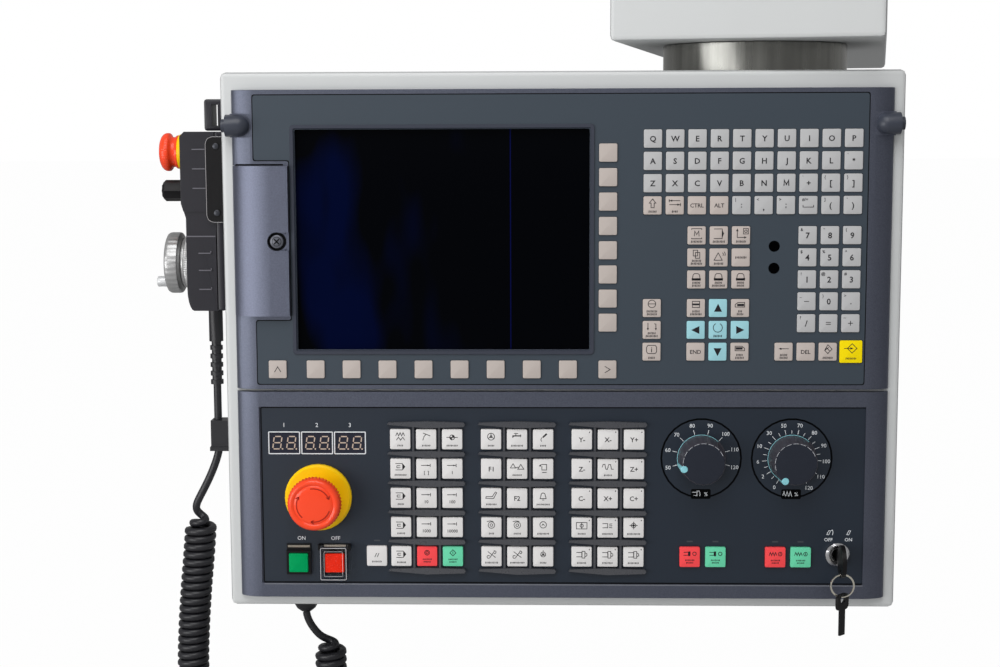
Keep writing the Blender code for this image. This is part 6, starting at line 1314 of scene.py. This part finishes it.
# Power buttons
def power_buttons():
    for body, place, material, slot in (("power_on", POWER_ON_AT, POWER_GREEN, "signal_green"),
                                        ("power_off", POWER_OFF_AT, POWER_RED, "signal_red")):
        bm = bmesh.new()
        key_cap(bm, *place, 14.2, 0.8, -8.4, 3.3, 0.6)
        front(body + "_cap", bm, material, slot, body + "_button", body=body)
    bm = bmesh.new()
    for x, z in (POWER_ON_AT, POWER_OFF_AT):
        box(bm, (x - 8.2, z + 11.3, -0.4), (x + 8.2, z + 12.9, -0.1))
    front("power_strips", bm, DULL_METAL, "chrome")
    # Painted highlights along the clear guard's outer and inner edges
    bm = bmesh.new()
    for grow, width, low in ((0, 0.36, 10.3), (-2.6, 0.22, 10.5)):
        outline = moved(rounded(19.0 + 2 * grow, 24.0 + 2 * grow, 0.8), POWER_OFF_AT[0], -350.05)
        ribbon(bm, outline, width, low, 10.72, True)
    front("guard_edge_highlights", bm, GUARD_EDGE_HIGHLIGHT, "clear_plastic", body="flip_guard")


# Override knobs: body, node, place, the dial's first and last angle, its labels, and short lines or not
KNOBS = (
    ("spindle_override", "spindle_knob", SPINDLE_KNOB_AT, 196.0, -15.0, "50 60 70 80 90 100 110 120", False),
    ("feed_override", "feed_knob", FEED_KNOB_AT, 240.0, -59.0, "0 2 6 10 30 50 70 80 90 100 110 120", True),
)
GRIP_PROFILE = ((15.0, 20.6), (15.7, 20.5, 0.1), (16.0, 20.0, 0.5), (16.25, 17.0, 0.6), (17.1, 3.0, 0.6),
                (17.2, 0.6, 0.2), (17.2, -0.2))
FACE_PROFILE = ((0, 21.0), (14.6, 21.0), (15.2, 20.95, 0.2), (15.5, 20.6, 0.4), (15.5, 20.3, 0.4))
SKIRT_PROFILE = ((17.3, 0.3), (18.1, 0.1), (18.1, -1.1), (16.0, -1.15))
POINTER_RINGS = (
    (21.5, 14.6, 2.2, 2.2), (21.0, 14.8, 2.7, 2.6), (17.5, 15.0, 2.6, 2.6), (9.0, 16.2, 1.9, 2.0),
    (3.0, 17.0, 1.3, 1.5), (0.25, 17.2, 1.2, 1.3),
)
DIAL_R = 18.3
SPINDLE_SIGN = ((-2.8, -2.2), (-2.8, 2.2), (-1.2, 2.2), (-0.6, 1.0), (-0.6, -1.0), (-1.2, -2.2))


def knob(body, node, place, first):
    """A grip over a clear skirt, with painted highlights along the grip's top edge and its pointer."""
    for part, shape, counts, profile, material, nodes in (
            ("_grip", fluted, (216, 18), GRIP_PROFILE, KNOB_SIDE, (node,)),
            ("_face", fluted, (216, 18), FACE_PROFILE, KNOB_DARK, ()),
            ("_skirt", turned, (96,), SKIRT_PROFILE, SMOKE, ())):
        bm = bmesh.new()
        shape(bm, profile, *counts, *place)
        front(body + part, bm, material, "dark_plastic", *nodes, body=body)
    # Painted highlights: short light arcs along the grip's top edge
    glint_print = Print(20.95)
    for start in range(198, 37, -20):
        glint_print.arc(place, 15.05, start - 15, start, 0.3)
    glint_print.done(body + "_painted_glints", KNOB_HIGHLIGHT, body, "dark_plastic")
    edge = Print(0.2)
    edge.arc(place, 17.75, 46, first)
    out, middle = ray(math.radians(first)), Vector(place)
    side = Vector((-out.y, out.x))
    rings = []
    for height, radius, reach, half in POINTER_RINGS:
        ring = []
        for i in range(24):
            angle = 2 * math.pi * i / 24
            point = middle + out * (radius + reach * math.cos(angle)) + side * half * math.sin(angle)
            ring.append((point.x, point.y, height))
        rings.append(ring)
    loft(edge.bm, rings)
    foot, heel = middle + out * DIAL_R, middle + out * 16.8
    plate(edge.bm, (foot + side * -0.5, foot + side * 0.5, heel + side * 1.2, heel - side * 1.2), 0.1, 0.6)
    edge.done(body + "_pointer", POINTER_CYAN, body, "dark_plastic")


def dial(place, first, last, labels, short_lines):
    """The print of a dial: its labels and the lines towards them."""
    ink, middle = Print(INSET_PRINT), Vector(place)
    step = (first - last) / (len(labels) - 1)
    for i, label in enumerate(labels):
        angle = math.radians(first - step * i)
        out = ray(angle)
        ink.text(label, middle + out * (24.6 + 0.4 * len(label)), 3.0, bold=0.3)
        ink.stroke((middle + out * DIAL_R, middle + out * 21.9), 0.42)
        if short_lines and i < len(labels) - 3:
            out = ray(angle - math.radians(step / 2))
            ink.stroke((middle + out * 18.6, middle + out * 21.2), 0.38)
    return ink


def dials():
    for body, node, place, first, last, labels, short_lines in KNOBS:
        knob(body, node, place, first)
        ink = dial(place, first, last, labels.split(), short_lines)
        at = (place[0], place[1] - 27.0)
        if short_lines:
            ink.line(at, 1, wave(-6.4, 0.6, 0, 2.0, 6))
        else:
            for rise in (1.3, -1.3):
                ink.line(at, 1, ((-6.4, rise), (-3.2, rise)))
            ink.line(at, 1, SPINDLE_SIGN, closed=True)
        ink.text("%", (at[0] + 3.8, at[1]), 3.0)
        ink.done(body + "_dial", SIGN_WHITE, slot="slate_plastic")
        ring = Print(INSET_PRINT)
        ring.arc(place, 29.5, width=1.35)
        ring.done(body + "_ring", DIAL_BLACK, slot="slate_plastic")
        patch = Print(INSET_PRINT - 0.03)
        patch.area((0, 0), 1, moved(rounded(14.6, 7.4, 1.2), *at))
        patch.done(body + "_patch", DIAL_BLACK, slot="slate_plastic")


# Pendant: name, shape, counts, finish, height, slot, nodes and body, with a profile that runs out of the wall
STOP_Z, WHEEL_Z, CRANK_Z = -45.5, -130.6, -145.2
PENDANT_PIECES = (
    ("pendant_stop_collar", collar, (), YELLOW, STOP_Z, "signal_yellow", ("pendant_estop_collar",), "console",
     ((12.1, 42.6), (12.6, 42.6), (13.2, 42.1), (13.4, 41.2), (13.4, 34.9), (12.1, 34.9))),
    ("pendant_stop_sleeve", collar, (), RED, STOP_Z, "signal_red", (), "console",
     ((12.1, 44.6), (12.4, 44.5), (12.7, 43.9), (12.9, 42.7), (12.1, 42.7))),
    ("pendant_stop_cap", fluted, (192, 48), RED, STOP_Z, "signal_red", ("pendant_estop",), "pendant_stop",
     ((0, 57.5), (6, 57.2), (10, 56.4), (12.2, 55.4), (13.6, 54.2, 0.05), (14.4, 52.8, 0.2),
      (14.6, 51.2, 0.3), (14.5, 49.8, 0.3), (13.9, 48.9, 0.1), (12.4, 48.2), (11.6, 47.4), (11.4, 45.9),
      (11.4, 39.5))),
    ("wheel_rim", fluted, (288, 32), SILVER, WHEEL_Z, "aluminium", ("handwheel",), "wheel",
     ((0, 51.4), (18.6, 51.4), (19.2, 51.8), (20.0, 52.4), (21.4, 52.5), (22.6, 51.9), (23.3, 50.8, 0.1),
      (23.5, 49.4, 0.28), (23.5, 43.9, 0.28), (23.2, 42.8, 0.1), (22.4, 42.2), (20.2, 41.7), (19.4, 41.2),
      (19.2, 40.9))),
    ("wheel_flange", fluted, (360, 90), FLANGE_SILVER, WHEEL_Z, "aluminium", ("handwheel_flange",), "console",
     ((17.6, 40.5), (18.8, 40.4), (19.2, 39.6), (19.2, 38.6), (19.9, 38.1), (20.5, 37.6, 0.3),
      (20.6, 36.2, 0.4), (20.6, 32.8, 0.4), (20.4, 31.7))),
    ("crank_knob", turned, (), CRANK, CRANK_Z, "aluminium", ("crank_grip",), "crank",
     ((0, 62.2), (3.2, 62.1), (3.9, 61.7), (4.1, 61.0), (4.0, 58.2), (4.1, 55.0), (4.0, 51.9))),
)


def pendant_controls():
    for name, shape, counts, material, z, slot, nodes, body, profile in PENDANT_PIECES:
        bm = bmesh.new()
        shape(bm, profile, *counts)
        off_wall(name, bm, material, z, slot, *nodes, body=body)


# Painted highlights on edges seen from the front: left, low, right and top of each, and the holder's edge as
# a run
LOW_RIB = ((-271.9, -0.5, -262.2, 0.3), (-262.9, -0.3, -262.2, 1.5))
RIB_EDGES = [(-275.2, z - 0.5, -265.6, z + 0.3) for z in (-43.0, -57.5, -72.0)]
RIB_EDGES += [(a, z + b, c, z + d) for z in (-120.6, -133.5, -147.8) for a, b, c, d in LOW_RIB]
HOLDER_EDGE = (
    (-252.0, -33.8), (-259.8, -33.8), (-263.2, -35.2), (-264.6, -38.6), (-264.6, -92.6), (-263.2, -96.0),
    (-259.8, -97.4), (-252.0, -97.4),
)


def pendant_trim():
    """Painted highlights on the edges of the pendant's ribs and of its holder, with the holder's screws."""
    bm = bmesh.new()
    for left, low, right, top in RIB_EDGES:
        box(bm, (left, low, -25.5), (right, top, -25.1))
    # A painted highlight: a light strip along the pendant's step under its waist
    box(bm, (-280.8, -108.5, -26.1), (-259.0, -107.6, -25.85))
    front("pendant_rib_highlights", bm, RIB_HIGHLIGHT, "pendant_plastic")
    bm = bmesh.new()
    # Painted highlight along the holder's rounded edge
    ribbon(bm, soften(HOLDER_EDGE, 1.2), 0.4, -23.8, -23.55)
    front("holder_painted_highlight", bm, HOLDER_HIGHLIGHT, "dark_plastic")
    bm = bmesh.new()
    for z in (-40.8, -90.4):
        turned(bm, ((0, -22.35), (1.7, -22.4), (2.2, -22.6), (2.35, -23.3)), 24, -256.8, z)
    front("holder_screws", bm, SCREW_STEEL, "chrome")


# Trim of the flap, the inset, the pegs and the rear cover
# The painted shadow over the flap: where it starts across, its length, its low and top edge and its steps
GAP_LEFT, GAP_LENGTH, GAP_LOW, GAP_TOP, GAP_STEPS = -238.5, 35.5, -54.85, -53.65, 14


def rail_height(across):
    """How high the upper panel's rail stands at a place across it."""
    beyond = max(0.0, abs(across) - RAIL_START) / RAIL_WIDTH
    return -RAIL_DROP * (1 - math.sqrt(max(0.0, 1 - beyond ** 2)))


def flap_trim():
    """The flap's screw, bright in its recess, with painted shade in the recess round it and a painted shadow
    of the gap over the flap.
    """
    bm = bmesh.new()
    turned(bm, ((0, 5.6), (4.2, 5.6), (4.7, 5.3), (4.9, 4.7), (4.9, 3.3)), 48, *FLAP_SCREW_AT)
    front("flap_screw_head", bm, SCREW_HEAD, "chrome", "flap_screw", body="flap")
    ink = Print(5.62)
    for rise in (1.9, -1.9):
        ink.line(FLAP_SCREW_AT, 1, ((-1.9, -rise), (1.9, rise)), 0.95)
    ink.arc(FLAP_SCREW_AT, 3.3, width=0.35)
    ink.done("flap_screw_cross", GROOVE_AND_SHADE_BLACK, "flap", "chrome")
    # Painted shade: a black ring in the recess round the screw head
    recess_shade = Print(3.1)
    recess_shade.arc(FLAP_SCREW_AT, 5.9, width=1.8)
    recess_shade.done("flap_screw_recess_shade", GROOVE_AND_SHADE_BLACK, "flap", "dark_plastic")
    # Painted shadow: a black strip along the gap over the flap, following the rail's curve
    bm = bmesh.new()
    rings = []
    for i in range(GAP_STEPS + 1):
        across = GAP_LEFT + GAP_LENGTH * i / GAP_STEPS
        high, low = rail_height(across) + 0.12, rail_height(across) - 0.2
        corners = ((GAP_LOW, high), (GAP_TOP, high), (GAP_TOP, low), (GAP_LOW, low))
        rings.append([(across, *corner) for corner in corners])
    loft(bm, rings)
    front("flap_gap_shadow", bm, GROOVE_AND_SHADE_BLACK, "dark_plastic")


def inset_trim():
    """The lower inset's dark outline, which is painted shade of its walls, and a painted highlight along the
    edge under it.
    """
    bm = bmesh.new()
    # Painted shade: a near-black outline round the inset, where its walls lie in shade
    ribbon(bm, inset_outline(0.55), 1.0, INSET_FACE, INSET_PRINT + 0.03, True)
    front("inset_outline", bm, GROOVE_AND_SHADE_BLACK, "slate_plastic")
    bm = bmesh.new()
    # Painted highlight: a light strip along the inset's lower edge
    box(bm, (INSET_LEFT + 1.0, INSET_LOW - 0.9, -0.1), (INSET_RIGHT - 1.0, INSET_LOW - 0.15, 0.06))
    front("inset_highlight", bm, INSET_HIGHLIGHT, "slate_plastic")


def peg_seats():
    """The frame's plastic under the two rubber pegs, which lie half sunk in it."""
    bm = bmesh.new()
    for left, right in ((-241.45, -226.4), (226.4, 241.45)):
        box(bm, (left, -34.4, -6.0), (right, -17.2, 0.0))
    front("peg_seats", bm, FRAME_PLASTIC, "slate_plastic")


def cover_trim():
    """The rear cover's dark seam and its six screws."""
    bm = bmesh.new()
    outline = rounded(2 * COVER_HALF + 0.9, COVER_HIGH - COVER_LOW + 0.9, 1.0)
    outline = moved(outline, 0, (COVER_HIGH + COVER_LOW) / 2)
    ribbon(bm, outline, 0.8, -COVER_BACK - 0.35, -COVER_BACK + 0.3, True)
    front("cover_seam", bm, GROOVE_AND_SHADE_BLACK, "paint")
    for name, material, profile, count in (
            ("cover_screws", SCREW_HEAD, ((0, 3.95), (3.2, 3.95), (4.15, 3.4), (4.15, 1.9)), 32),
            ("cover_sockets", GROOVE_AND_SHADE_BLACK, ((0, 4.02), (1.7, 4.02), (1.7, 3.8)), 6)):
        bm = bmesh.new()
        for place in COVER_SCREWS:
            turned(bm, [(radius, -COVER_BACK - out) for radius, out in profile], count, *place)
        front(name, bm, material, "chrome")


bpy.context.scene.view_settings.view_transform = "Standard"
dress_nodes()
upper_foil()
screen_bezel()
windows()
lower_foil()
keyboard()
keyboard_signs()
machine_panel()
machine_signs()
digits()
panel_labels()
emergency_stop()
power_buttons()
dials()
pendant_controls()
pendant_trim()
flap_trim()
inset_trim()
peg_seats()
cover_trim()
cord()
stage()
